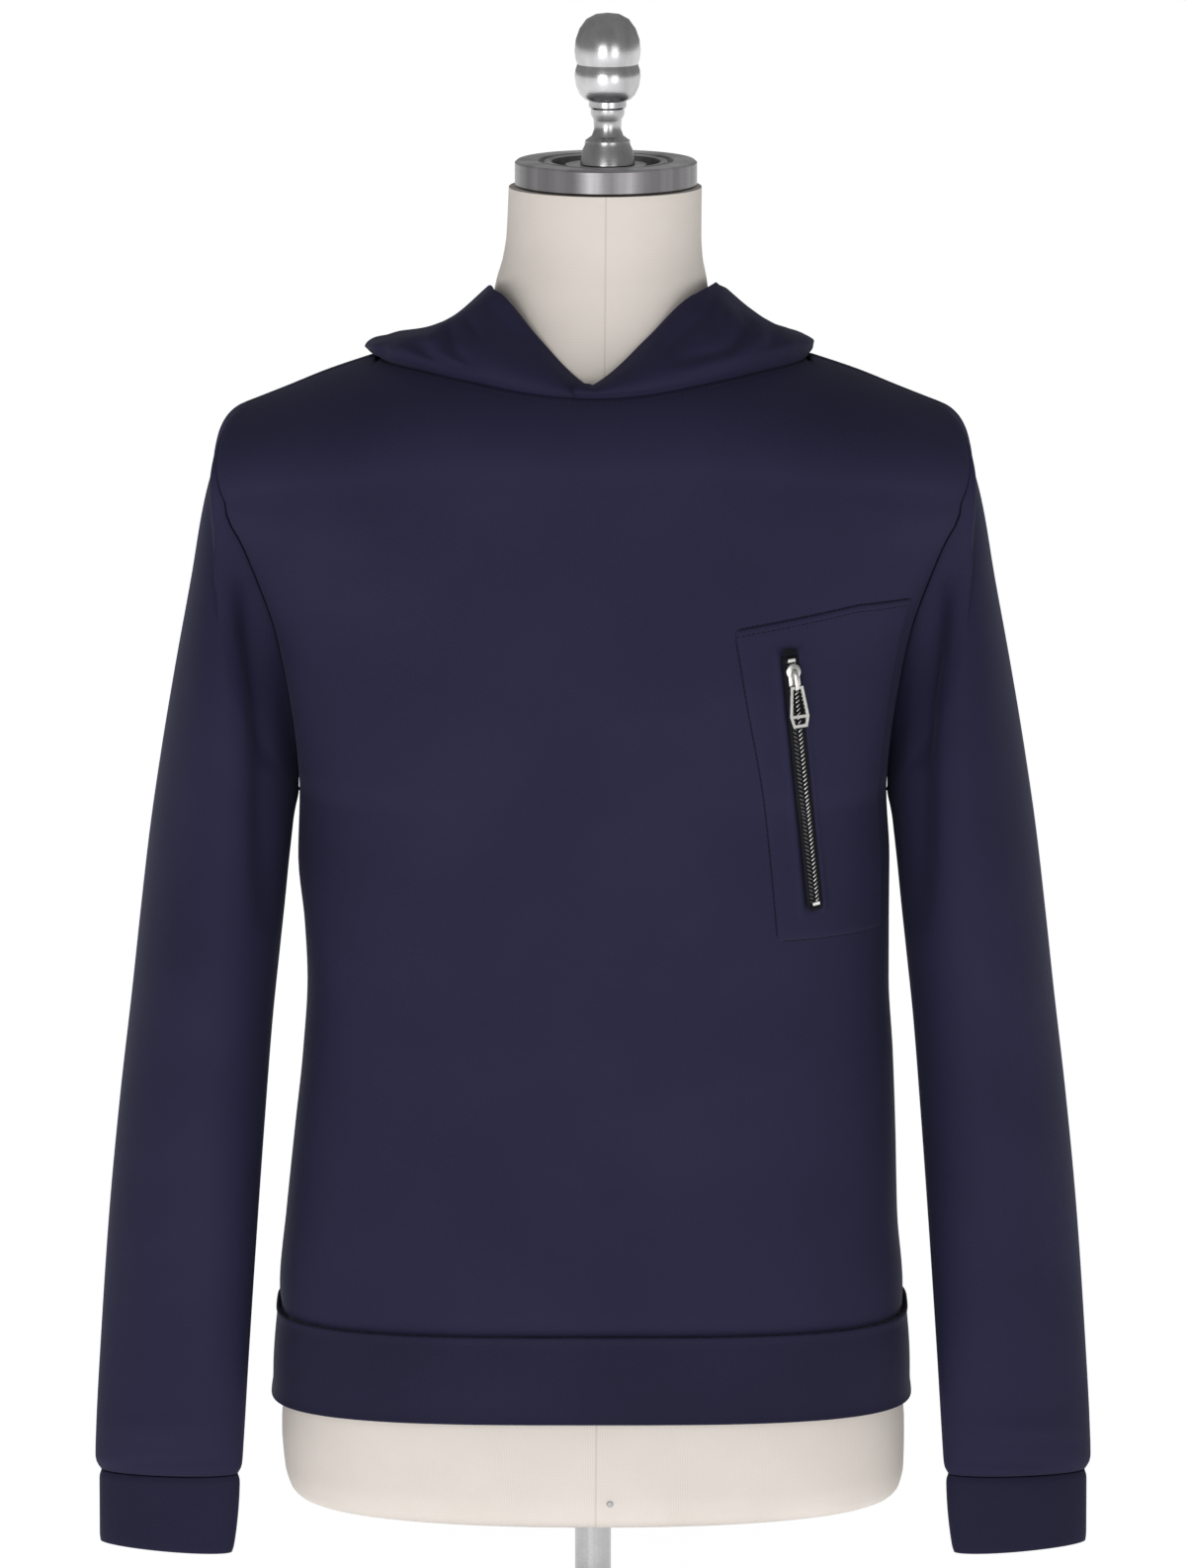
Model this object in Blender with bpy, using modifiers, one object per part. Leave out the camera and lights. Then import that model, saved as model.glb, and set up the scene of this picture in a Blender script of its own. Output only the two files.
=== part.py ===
"""Hooded pullover sweatshirt worn by a limbless dress form that stands on a slim post.

Blender 4.5 script. The shape functions work in millimetres and the meshes are in metres.
+Z is up, the front faces -Y, and "right" is the side at +X, as seen from the front.
"""
import math

import bmesh
import bpy
import numpy as np
from mathutils import Matrix, Vector

MM = 0.001
OBJECT_NAME = "Hooded pullover on dress form"

# Cloth walls and the gaps between neighbouring pieces.
CLOTH = 1.8
PATCH_CLOTH = 1.4
SEAM_GAP = 0.4
SLEEVE_GAP = 0.5
LAY_GAP = 0.4
STAND_GAP = 0.3

# Heights of the garment's seams and edges.
HEM_BOTTOM = 190.0
HEM_SEAM = 243.0
UNDERARM = 560.0
CHEST_TOP = 766.0       # foot of the shoulder's rounding in the torso's table
CHEST_FLATNESS = 2.4    # power of the curve across the chest
SHOULDER_SPREAD = 0.9   # power that spaces the columns over the shoulder
CUFF_BOTTOM = 94.5

# Neck seam: an oval seen from above, which the hood is sewn to.
NECK_WIDE = 130.0
NECK_FRONT = 95.0
NECK_BACK = 80.0

# Mesh resolution.
NECK_COLUMNS = 6
SHOULDER_COLUMNS = 7
HEM_ROWS = 8
CHEST_ROWS = 6
YOKE_ROWS = 5
YOKE_EDGE = 0.97
SLEEVE_ROWS = 15
SLEEVE_CLOSER = 1.1     # power that draws the sleeve's rows closer together at the armhole
SLEEVE_EDGE = 0.006     # share of the sleeve taken by its narrow first row
CUFF_STEPS = (0.0, 0.35, 0.7, 1.0)
HOOD_ROWS = 15
HEM_AROUND = 44
FORM_AROUND = 32
TURNED_STEPS = 24

# Sleeve's start at the armhole: its first row carries on the panels' slope over the shoulder.
HEAD_INSIDE = 0.99      # where the panels' slope is read, as a share of their half width
HEAD_LOW = 690.0        # below this height the first row follows the sleeve
HEAD_HIGH = 750.0       # and above this one the panels
HEAD_STEP = 2.5
ARMHOLE_FADE = 0.3      # share of the sleeve over which the armhole's own shape fades
CAP_FADE_LESS = 0.26    # how much sooner it fades over the shoulder
DEPTH_FADE = 0.12       # share over which the sleeve comes forward to its own depth
CUFF_TAPER = 4.4        # how far a cuff's inner side comes in towards its free edge

# Hem band: how far it swells past the torso's sections at shares of its height.
HEM_SWELL = ((0.0, 0.0), (0.25, 1.8), (0.7, 2.2), (1.0, 1.0))

COLOURS = {
    "navy_jersey": (0.024, 0.023, 0.052, 1.0, 0.75, 0.0),
    "cream_linen": (0.72, 0.66, 0.61, 1.0, 0.9, 0.0),
    "satin_aluminium": (0.60, 0.60, 0.61, 1.0, 0.35, 1.0),
    "stand_steel": (0.55, 0.55, 0.56, 1.0, 0.32, 1.0),
    "zip_black": (0.01, 0.01, 0.012, 1.0, 0.6, 0.0),
    "zip_silver": (0.75, 0.74, 0.71, 1.0, 0.25, 1.0),
}


class Table:
    """Rows of sizes in millimetres; a column is read as a smooth curve over the first one."""

    def __init__(self, columns, rows):
        self.columns = columns
        self.rows = np.array(rows, float)

    def read(self, name, at):
        key = self.rows[:, 0]
        value = self.rows[:, self.columns.index(name)]
        slope = np.diff(value) / np.diff(key)
        before, after = slope[:-1], slope[1:]
        same_way = before * after > 0
        total = np.where(same_way, before + after, 1.0)
        tangent = np.empty_like(value)
        tangent[1:-1] = np.where(same_way, 2 * before * after / total, 0.0)
        tangent[0], tangent[-1] = slope[0], slope[-1]
        at = np.clip(at, key[0], key[-1])
        low = np.clip(np.searchsorted(key, at, side="right") - 1, 0, len(key) - 2)
        width = key[low + 1] - key[low]
        part = (at - key[low]) / width
        start = (1 + 2 * part) * (1 - part) ** 2 * value[low]
        finish = part ** 2 * (3 - 2 * part) * value[low + 1]
        lead = part * (1 - part) ** 2 * width * tangent[low]
        trail = part ** 2 * (part - 1) * width * tangent[low + 1]
        return start + finish + lead + trail


# Closed sections from the hem seam to the underarm, then open ones between the armholes.
# left, right: half widths; front, back: depths at the centre; square: how boxy;
# arm: half depth of the armhole at that height.
TORSO = Table(
    ("z", "left", "right", "front", "back", "square", "arm"),
    (
        (190.0, 192.0, 190.0, 118.0, 112.0, 3.2, 0.0),
        (243.0, 189.8, 188.6, 118.5, 112.5, 3.2, 0.0),
        (256.0, 191.0, 188.8, 120.5, 114.0, 3.1, 0.0),
        (300.0, 187.0, 185.4, 121.5, 112.0, 3.0, 0.0),
        (350.0, 181.8, 184.2, 121.0, 107.0, 2.9, 0.0),
        (400.0, 176.4, 182.4, 120.0, 102.0, 2.8, 0.0),
        (445.0, 173.6, 179.8, 120.0, 100.0, 2.7, 0.0),
        (480.0, 175.2, 179.8, 121.0, 101.5, 2.7, 0.0),
        (520.0, 179.0, 180.0, 123.0, 105.5, 2.7, 0.0),
        (560.0, 178.0, 178.0, 126.0, 110.0, 2.7, 0.0),
        (578.0, 178.5, 178.5, 127.0, 111.5, 2.7, 20.0),
        (600.0, 180.5, 180.5, 128.0, 113.5, 2.7, 26.0),
        (635.0, 186.0, 186.0, 129.0, 116.0, 2.6, 32.0),
        (665.0, 192.5, 192.5, 128.5, 117.0, 2.5, 38.0),
        (690.0, 201.0, 201.0, 127.5, 116.0, 2.5, 44.0),
        (715.0, 211.0, 211.0, 125.0, 113.0, 2.5, 49.0),
        (737.0, 221.0, 221.0, 121.5, 109.0, 2.5, 52.0),
        (766.0, 222.0, 222.0, 118.0, 104.0, 2.5, 52.0),
    ),
)

# Ridge of the shoulders, out from the centre: its height and the depth of its rounding.
RIDGE = Table(
    ("x", "height", "round_front", "round_back"),
    (
        (0.0, 843.0, 77.0, 66.0),
        (60.0, 841.5, 76.0, 66.0),
        (100.0, 835.5, 72.0, 64.0),
        (130.0, 825.5, 67.0, 61.0),
        (160.0, 815.5, 61.0, 57.0),
        (185.0, 805.5, 55.0, 53.0),
        (207.0, 797.0, 51.0, 50.0),
        (222.0, 791.5, 50.0, 50.0),
        (228.0, 788.0, 50.0, 50.0),
    ),
)

# Armhole above the chest: its distance from the centre, by degrees round the shoulder.
ARMHOLE_TOP = Table(
    ("turn", "x"),
    (
        (0.0, 207.0),
        (15.0, 214.5),
        (30.0, 221.5),
        (45.0, 225.5),
        (60.0, 227.0),
        (75.0, 225.5),
        (90.0, 221.5),
    ),
)

# Sleeve sections from the armhole to the cuff seam: their outer and inner points, the
# middle's depth, half the depth, and how far the outer side stands behind the inner one.
SLEEVE = Table(
    ("along", "out_x", "out_z", "in_x", "in_z", "middle_y", "half_depth", "lean"),
    (
        (0.00, 207.0, 797.0, 178.0, 560.0, 0.0, 52.0, 0.0),
        (0.05, 221.5, 778.0, 178.9, 554.5, 0.0, 52.5, 0.0),
        (0.11, 234.6, 739.0, 180.2, 549.0, 0.5, 57.0, 0.0),
        (0.19, 243.6, 688.0, 181.6, 541.5, 0.5, 66.0, 0.0),
        (0.27, 252.8, 638.0, 182.8, 531.5, 0.0, 71.5, 1.0),
        (0.35, 261.6, 586.0, 184.6, 515.5, -1.0, 73.5, 2.0),
        (0.43, 269.0, 536.0, 187.0, 491.5, -3.0, 72.0, 3.5),
        (0.51, 274.8, 487.0, 190.4, 460.0, -5.0, 69.0, 5.0),
        (0.59, 280.4, 436.0, 194.4, 422.0, -8.0, 64.0, 7.0),
        (0.70, 288.0, 371.0, 199.2, 362.0, -12.0, 55.5, 9.5),
        (0.80, 294.8, 301.0, 204.2, 293.0, -16.0, 45.0, 12.0),
        (0.90, 300.4, 222.0, 209.4, 215.0, -20.0, 33.0, 15.0),
        (0.96, 303.6, 166.0, 212.6, 163.0, -22.0, 25.0, 16.5),
        (0.985, 304.2, 147.5, 213.6, 149.5, -22.0, 21.5, 17.0),
        (1.00, 301.8, 138.5, 215.0, 143.0, -22.0, 18.5, 17.0),
    ),
)

# Hood, by degrees round the neck from the front centre. Each section leaves the neck seam
# and passes six points, given as the way out from the seam and the way up, to its free edge.
HOOD_COLUMNS_NAMED = (
    "turn", "out1", "up1", "out2", "up2", "out3", "up3",
    "out4", "up4", "out5", "up5", "out6", "up6",
)
HOOD_RIGHT = Table(
    HOOD_COLUMNS_NAMED,
    (
        (0.0, -0.4, 1.5, -1.6, 2.7, -3.4, 3.5, -5.8, 4.0, -8.4, 4.3, -11.2, 4.5),
        (20.0, 1.5, 4.0, 1.0, 9.0, -3.0, 14.5, -10.5, 20.0, -19.5, 24.0, -30.0, 27.0),
        (45.0, 3.5, 6.0, 4.0, 13.0, -1.0, 20.0, -12.0, 28.0, -25.0, 37.0, -39.0, 45.0),
        (70.0, 3.5, 6.0, 3.5, 12.0, -4.0, 17.0, -18.0, 24.0, -35.0, 33.5, -51.0, 46.0),
        (90.0, 3.0, 4.0, 1.5, 9.0, -10.0, 13.5, -26.0, 20.5, -41.0, 31.0, -56.0, 43.0),
        (108.0, 5.5, 0.2, 9.8, 4.4, 1.0, 10.2, -14.0, 15.2, -29.0, 25.0, -43.0, 37.0),
        (125.0, 8.0, -1.5, 19.5, -5.6, 25.5, 0.4, 13.5, 8.0, -8.0, 15.0, -32.0, 31.0),
        (140.0, 8.0, 3.0, 21.0, 0.0, 34.0, -8.0, 37.0, 3.0, 16.0, 14.0, -20.0, 29.0),
        (155.0, 7.0, 7.0, 31.5, -15.0, 52.0, -75.0, 68.0, -46.0, 52.0, 1.0, 14.0, 25.0),
        (168.0, 6.0, 8.0, 31.0, -26.0, 52.0, -126.0, 84.0, -87.0, 76.0, -8.0, 44.0, 24.0),
        (180.0, 6.0, 8.0, 31.0, -26.0, 52.0, -142.0, 88.0, -102.0, 84.0, -12.0, 54.0, 22.0),
    ),
)
HOOD_LEFT = Table(
    HOOD_COLUMNS_NAMED,
    (
        (0.0, -0.4, 1.5, -1.6, 2.7, -3.4, 3.5, -5.8, 4.0, -8.4, 4.3, -11.2, 4.5),
        (20.0, 1.5, 4.0, 1.0, 9.0, -3.0, 14.5, -10.5, 20.0, -19.5, 24.0, -30.0, 27.0),
        (45.0, 4.0, 5.0, 4.0, 11.0, -2.0, 18.0, -14.0, 26.0, -28.0, 36.0, -43.0, 46.5),
        (70.0, 6.0, 4.0, 6.5, 9.5, -2.0, 14.0, -20.0, 18.5, -42.0, 28.0, -62.0, 44.5),
        (90.0, 5.0, 1.5, 6.5, 4.8, 0.0, 8.5, -18.0, 12.5, -42.0, 18.5, -65.0, 35.0),
        (108.0, 7.0, -1.2, 14.0, 0.8, 8.5, 6.6, -12.0, 10.2, -36.0, 16.5, -57.0, 29.0),
        (125.0, 8.0, -1.5, 19.5, -6.0, 25.5, -0.6, 13.5, 6.2, -12.0, 10.2, -42.0, 24.0),
        (140.0, 8.0, 3.0, 21.0, 0.0, 34.0, -8.0, 37.0, 2.0, 16.0, 9.0, -21.0, 24.0),
        (155.0, 7.0, 7.0, 31.5, -15.0, 52.0, -75.0, 68.0, -46.0, 50.0, -3.0, 14.0, 24.0),
        (168.0, 6.0, 8.0, 31.0, -26.0, 52.0, -126.0, 84.0, -87.0, 76.0, -8.0, 44.0, 24.0),
        (180.0, 6.0, 8.0, 31.0, -26.0, 52.0, -142.0, 88.0, -102.0, 84.0, -12.0, 54.0, 22.0),
    ),
)
HOOD_POINTS = 6
HOOD_OVERLAP = 5.0      # degrees that each half runs past the front centre
HOOD_TIP = 0.4          # share of the profile left at the end of that overlap
HOOD_LEAD = 6.0         # degrees to the first full column past the front centre
HOOD_CROSSING = 3.4     # how far the right half is raised over the left one
HOOD_CROSSING_UP = 0.8  # share of the crossing's raise that goes upwards
HOOD_SETTLE = 24.0      # degrees over which the raised half comes down
HOOD_BACK_EDGE = 1.0    # degrees of the last column at the back seam
HOOD_BACK_GAP = 0.4     # half the gap between the halves at the back seam

# Chest pocket: the patch's free upright edge, its top and bottom, and its end near the arm.
POCKET_EDGE = Table(
    ("z", "x"),
    ((484.0, 111.0), (518.0, 108.0), (574.0, 102.0), (628.0, 92.5), (675.0, 84.5)),
)
POCKET_BOTTOM = 484.0
POCKET_TOP = 674.5
POCKET_TOP_RISE = 0.14      # slope of the top edge
POCKET_LEVEL_FROM = 75.0    # how far out that slope goes on
POCKET_END = 0.96           # share of the half width at its end
POCKET_FIXED = 0.62         # share past which its columns are the panel's own
POCKET_COLUMNS = 3          # columns between its free edge and those

# Zip on the patch, from its top end to its bottom end.
ZIP_TOP = (116.8, 658.5)
ZIP_BOTTOM = (132.2, 503.0)
ZIP_WIDE = 8.4
ZIP_THICK = 1.3
ZIP_ROWS = 12
STOP_SIZE = (5.0, 2.4, 1.6)
STOP_IN = 3.4           # from each end of the zip to its stop
STOP_EDGE = 0.4
SLIDER_DOWN = 12.2      # from the zip's top to the slider's middle

# Slider and pull tab, across the zip, along it and out from it.
SLIDER_SIZE = (9.6, 13.8, 2.6)
SLIDER_END = 0.78       # share of its width left at the lower end
SLIDER_EDGE = 0.6
CROWN_WIDE = 2.6
CROWN_THICK = 1.3
CROWN_RISE = 4.0
CROWN_TOP = -4.0        # the crown's ends, from the slider's middle
CROWN_END = 10.1
TAB_BAR_DOWN = 7.6      # the tab's top bar, from the slider's middle
TAB_BAR_RADIUS = 0.8
TAB_BAR = 1.8
TAB_THICK = 1.5
TAB_MIDDLE = 17.4       # the tab's widest place, at its middle bar
TAB_LENGTH = 24.0
TAB_TOP_WIDE = 8.2
TAB_MIDDLE_WIDE = 12.6
TAB_END_WIDE = 9.2

# Dress form, from its flat underside to the top of its neck.
FORM = Table(
    ("z", "half_x", "middle_x", "front", "back", "square"),
    (
        (122.0, 176.0, 1.5, 98.0, 95.0, 2.2),
        (124.5, 181.5, 1.5, 104.5, 100.5, 2.2),
        (130.0, 186.0, 1.3, 109.0, 104.5, 2.2),
        (142.0, 189.0, 0.8, 112.0, 107.0, 2.2),
        (166.0, 190.2, 0.0, 113.0, 108.0, 2.2),
        (190.0, 188.8, 0.0, 112.5, 107.0, 2.3),
        (243.0, 185.0, 0.0, 112.0, 106.0, 2.5),
        (300.0, 178.5, 0.0, 110.5, 101.5, 2.5),
        (350.0, 172.0, 0.0, 108.0, 96.5, 2.5),
        (400.0, 166.0, 0.0, 107.0, 92.5, 2.5),
        (445.0, 163.0, 0.0, 107.5, 91.0, 2.5),
        (500.0, 165.0, 0.0, 111.0, 94.0, 2.5),
        (560.0, 168.0, 0.0, 117.5, 102.0, 2.5),
        (620.0, 172.0, 0.0, 121.0, 107.5, 2.5),
        (680.0, 180.0, 0.0, 120.0, 108.5, 2.4),
        (720.0, 187.0, 0.0, 117.0, 105.0, 2.3),
        (745.0, 191.0, 0.0, 113.0, 101.0, 2.2),
        (766.0, 196.0, 0.0, 108.0, 95.5, 2.05),
        (782.0, 201.0, 0.0, 102.0, 90.0, 1.9),
        (792.0, 200.0, 0.0, 96.5, 85.5, 1.8),
        (799.2, 194.5, 0.0, 90.5, 81.0, 1.7),
        (804.6, 180.8, 0.0, 86.5, 78.5, 1.65),
        (813.0, 160.0, 0.3, 80.5, 75.5, 1.6),
        (820.0, 134.0, 0.8, 76.0, 73.0, 1.6),
        (826.0, 110.0, 1.5, 72.5, 71.5, 1.75),
        (832.0, 90.0, 2.2, 69.5, 70.0, 1.95),
        (840.0, 77.0, 3.0, 66.5, 68.5, 2.0),
        (850.0, 69.0, 4.0, 63.5, 67.0, 2.0),
        (860.0, 65.5, 4.7, 61.0, 65.5, 2.0),
        (872.0, 63.2, 5.3, 58.5, 63.5, 2.0),
        (884.0, 60.3, 5.9, 56.0, 61.5, 2.0),
        (898.0, 58.8, 6.6, 54.5, 60.5, 2.0),
        (927.0, 58.2, 7.4, 53.5, 60.5, 2.0),
    ),
)
NECK_TOP = 927.0
NECK_AXIS = (7.8, 3.5)
FORM_UNDERSIDE = 122.0
PIN_PLACE = (10.2, 139.5)
PIN_RADIUS = 2.0
PIN_STANDS = 1.2
PIN_TAPER = 0.7

# Neck cap and finial: radius and height above the neck's top, down the outer side.
CAP_PROFILE = (
    (0.0, 13.2), (24.5, 13.2), (25.0, 11.0), (32.0, 11.0), (33.0, 15.0), (37.0, 15.4),
    (38.5, 13.6), (40.0, 13.6), (41.0, 15.6), (53.6, 15.6), (55.0, 14.4), (55.0, 1.6),
    (53.8, 0.4), (0.0, 0.4),
)
FINIAL_PROFILE = (
    (0.0, 105.0), (7.5, 103.9), (12.9, 101.0), (17.0, 95.3), (19.3, 88.8), (20.0, 82.3),
    (19.4, 77.0), (18.3, 74.0), (19.5, 70.4), (20.0, 66.8), (19.0, 60.5), (16.8, 55.6),
    (14.2, 52.9), (11.4, 51.6), (11.4, 48.2), (10.2, 46.8), (10.2, 43.6), (8.6, 40.5),
    (8.2, 34.6), (9.6, 30.5), (13.6, 27.6), (13.8, 25.0), (15.2, 22.0), (16.6, 13.7), (0.0, 13.7),
)

# Stand.
POST_RADIUS = 11.0
BASE_RADIUS = 130.0
BASE_THICK = 9.0
BASE_EDGE = 2.0


# ---------------------------------------------------------------- cloth shapes

def ease(value):
    """Smooth step from 0 to 1."""
    value = np.clip(value, 0.0, 1.0)
    return value * value * (3 - 2 * value)


def torso_half_width(side, z):
    """Distance of the side seam or armhole from the centre; side is -1 left or 1 right."""
    left = TORSO.read("left", z)
    right = TORSO.read("right", z)
    return np.where(side < 0, left, right)


def torso_depth(across, z, face):
    """Depth of the torso at a share of its half width, 0 at the centre and 1 at the side."""
    name = "front" if face < 0 else "back"
    centre = TORSO.read(name, z)
    arm = TORSO.read("arm", z)
    square = TORSO.read("square", z)
    across = np.clip(np.abs(across), 0.0, 1.0)
    rounded = (1 - across ** square) ** (1 / square)
    flat = 1 - across ** CHEST_FLATNESS
    share = ease((z - UNDERARM) / (CHEST_TOP - UNDERARM))
    return arm + (centre - arm) * (rounded * (1 - share) + flat * share)


def yoke_depth(across, face):
    """Depth that the shoulder's rounding starts from."""
    return torso_depth(across, CHEST_TOP, face)


def yoke_point(across, turn, face):
    """Point on the shoulder's rounding; turn is 0 at the ridge and 90 degrees at the chest."""
    x = across * ARMHOLE_TOP.read("x", turn)
    height = RIDGE.read("height", np.abs(x))
    drop = RIDGE.read("round_front" if face < 0 else "round_back", np.abs(x))
    angle = np.radians(turn)
    y = face * yoke_depth(across, face) * np.sin(angle)
    return x, y, height - drop * (1 - np.cos(angle))


def yoke_height(x, y):
    """Height of the shoulders' outer surface over a place given from above."""
    turn = np.full_like(x, 45.0)
    face = np.where(y < 0, -1, 1)
    for _ in range(20):
        across = x / ARMHOLE_TOP.read("x", turn)
        depth = np.where(face < 0, yoke_depth(across, -1), yoke_depth(across, 1))
        turn = np.degrees(np.arcsin(np.clip(np.abs(y) / depth, 0, 1)))
    front = yoke_point(across, turn, -1)[2]
    back = yoke_point(across, turn, 1)[2]
    return np.where(face < 0, front, back)


def seam_turn(across, face):
    """Where a column of a panel meets the neck seam, or the ridge outside the neck."""
    reach = (NECK_FRONT if face < 0 else NECK_BACK) + SEAM_GAP
    turn = np.full_like(across, 45.0)
    for _ in range(30):
        x = across * ARMHOLE_TOP.read("x", turn)
        inside = np.clip(1 - (x / (NECK_WIDE + SEAM_GAP)) ** 2, 0, 1)
        y = np.maximum(reach * np.sqrt(inside), SEAM_GAP / 2)
        turn = np.degrees(np.arcsin(np.clip(y / yoke_depth(across, face), 0, 1)))
    return turn


def panel_columns():
    """Shares of the half width, closer together at the neck's side and at the side seam."""
    neck = (NECK_WIDE + SEAM_GAP) / ARMHOLE_TOP.read("x", 0.0)
    inner = neck * np.sin(np.linspace(0, math.pi / 2, NECK_COLUMNS + 1))
    step = np.linspace(0, math.pi / 2, SHOULDER_COLUMNS + 1)[1:]
    outer = neck + (1 - neck) * np.sin(step) ** SHOULDER_SPREAD
    half = np.concatenate([inner, outer])
    return np.concatenate([-half[:0:-1], half])


def chest_rows(across, face):
    """Heights of a panel's rows from the hem seam to the foot of the shoulder's rounding."""
    chest_x = across * ARMHOLE_TOP.read("x", 90.0)
    drop = RIDGE.read("round_front" if face < 0 else "round_back", np.abs(chest_x))
    chest_z = RIDGE.read("height", np.abs(chest_x)) - drop
    rows = []
    for step in np.linspace(0, 1, HEM_ROWS + 1)[:-1]:
        rows.append(np.full_like(across, HEM_SEAM + SEAM_GAP / 2 + (UNDERARM - HEM_SEAM) * step))
    for step in np.linspace(0, math.pi / 2, CHEST_ROWS + 1)[:-1]:
        rows.append(UNDERARM + (chest_z - UNDERARM) * (1 - math.cos(step)))
    return rows


def yoke_turns(top_turn):
    """Turns of a panel's rows round the shoulder, with a narrow last row at its top edge."""
    steps = np.append(np.linspace(0, 1, YOKE_ROWS + 1)[:-1], (YOKE_EDGE, 1.0))
    return [90 + (top_turn - 90) * step for step in steps]


def panel_grid(face):
    """Outer surface of the front (face -1) or back (face 1) panel, from the hem seam up."""
    across = panel_columns()
    side = np.sign(across)
    rows = []
    for z in chest_rows(across, face):
        x = across * torso_half_width(side, z)
        rows.append((x, face * torso_depth(across, z, face), z))
    for turn in yoke_turns(seam_turn(across, face)):
        rows.append(yoke_point(across, turn, face))
    grid = np.array(rows).transpose(0, 2, 1)
    edge = side_gap(grid, face)
    return edge if face < 0 else edge[:, ::-1]


def side_gap(grid, face):
    """Keeps the two panels apart along the side seams and the ridge."""
    least = SEAM_GAP / 2
    grid[:, :, 1] = face * np.maximum(np.abs(grid[:, :, 1]), least)
    return grid


def armhole_edge(face, share=1.0):
    """Points of the right armhole's edge, or just inside it, from the underarm upwards."""
    across = np.full(1, share)
    points = []
    for z in chest_rows(across, face)[HEM_ROWS:]:
        x = across * torso_half_width(across, z)
        points.append((x, face * torso_depth(across, z, face), z))
    for turn in yoke_turns(np.zeros(1)):
        points.append(yoke_point(across, turn, face))
    return np.array(points)[:, :, 0]


def armhole_ring(share=1.0):
    """The right armhole's edge all round: over the front to the underarm and up the back."""
    front, back = armhole_edge(-1, share), armhole_edge(1, share)
    return np.concatenate([front[::-1], back[1:]])


def sleeve_ring(along, turn):
    """Point of the right sleeve; turn is 0 on the outer side and 90 degrees at the front."""
    outer = np.array([SLEEVE.read("out_x", along), SLEEVE.read("out_z", along)])
    inner = np.array([SLEEVE.read("in_x", along), SLEEVE.read("in_z", along)])
    middle = (outer + inner) / 2
    half = (outer - inner) / 2
    across, forward = np.cos(turn), np.sin(turn)
    x = middle[0] + half[0] * across
    z = middle[1] + half[1] * across
    y = SLEEVE.read("middle_y", along) - SLEEVE.read("half_depth", along) * forward
    return x, y + SLEEVE.read("lean", along) * across, z


def sleeve_turns():
    """Turns round the sleeve that meet the rows of the panels at the armhole."""
    hole = armhole_ring()
    outer, inner = SLEEVE.read("out_z", 0.0), SLEEVE.read("in_z", 0.0)
    level = (hole[:, 2] - (outer + inner) / 2) / ((outer - inner) / 2)
    turn = np.arccos(np.clip(level, -1, 1))
    middle = len(hole) // 2
    turn[middle + 1:] = 2 * math.pi - turn[middle + 1:]
    return turn


def sleeve_grid(mirror):
    """Outer surface of a sleeve from the armhole to the cuff seam."""
    turn = sleeve_turns()
    hole = armhole_ring()
    start_x, start_y, _ = sleeve_ring(0.0, turn)
    rows = []
    for along in sleeve_steps():
        x, y, z = sleeve_ring(along, turn)
        fade = ARMHOLE_FADE - CAP_FADE_LESS * np.clip(np.cos(turn), 0, 1)
        x = x + (hole[:, 0] + SLEEVE_GAP - start_x) * (1 - ease(along / fade))
        y = y + (hole[:, 1] - start_y) * (1 - ease(along / DEPTH_FADE))
        rows.append((x, y, z + SEAM_GAP / 2 * along))
    grid = np.array(rows).transpose(0, 2, 1)
    grid[1] = sleeve_head(hole, grid)
    grid[:, :, 0] *= mirror
    return grid if mirror > 0 else grid[:, ::-1]


def sleeve_head(hole, grid):
    """First row past the seam: over the shoulder it carries on the panels' own slope."""
    onward = hole - armhole_ring(HEAD_INSIDE)
    onward = onward / np.linalg.norm(onward, axis=1)[:, None]
    own = grid[2] - grid[0]
    own = own / np.linalg.norm(own, axis=1)[:, None]
    share = ease((hole[:, 2] - HEAD_LOW) / (HEAD_HIGH - HEAD_LOW))[:, None]
    return grid[0] + (onward * share + own * (1 - share)) * HEAD_STEP


def sleeve_steps():
    """Shares of the sleeve's length, with a narrow first row at the armhole."""
    even = np.linspace(0, 1, SLEEVE_ROWS + 1) ** SLEEVE_CLOSER
    return np.concatenate([[0.0, SLEEVE_EDGE], even[1:]])


def cuff_grid(mirror):
    """Outer surface of a cuff, from its seam down to its free edge."""
    turn = sleeve_turns()
    x, y, z = sleeve_ring(1.0, turn)
    inner = (1 - np.cos(turn)) / 2
    rows = []
    for step in CUFF_STEPS:
        level = (z - SEAM_GAP / 2) * (1 - step) + CUFF_BOTTOM * step
        rows.append((mirror * (x + CUFF_TAPER * inner * step ** 2), y, level))
    grid = np.array(rows).transpose(0, 2, 1)
    return grid if mirror > 0 else grid[:, ::-1]


def hem_grid():
    """Outer surface of the hem band, all round."""
    turn = np.linspace(0, 2 * math.pi, HEM_AROUND + 1)
    across, forward = np.cos(turn), np.sin(turn)
    rows = []
    for step, swell in HEM_SWELL:
        z = HEM_SEAM - SEAM_GAP / 2 + (HEM_BOTTOM - HEM_SEAM) * step
        power = 2 / TORSO.read("square", z)
        half = torso_half_width(across, z) + swell
        front = np.where(forward > 0, TORSO.read("front", z), TORSO.read("back", z)) + swell
        x = half * np.sign(across) * np.abs(across) ** power
        y = -front * np.sign(forward) * np.abs(forward) ** power
        rows.append((x, y, np.full_like(x, z)))
    return np.array(rows).transpose(0, 2, 1)


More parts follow.
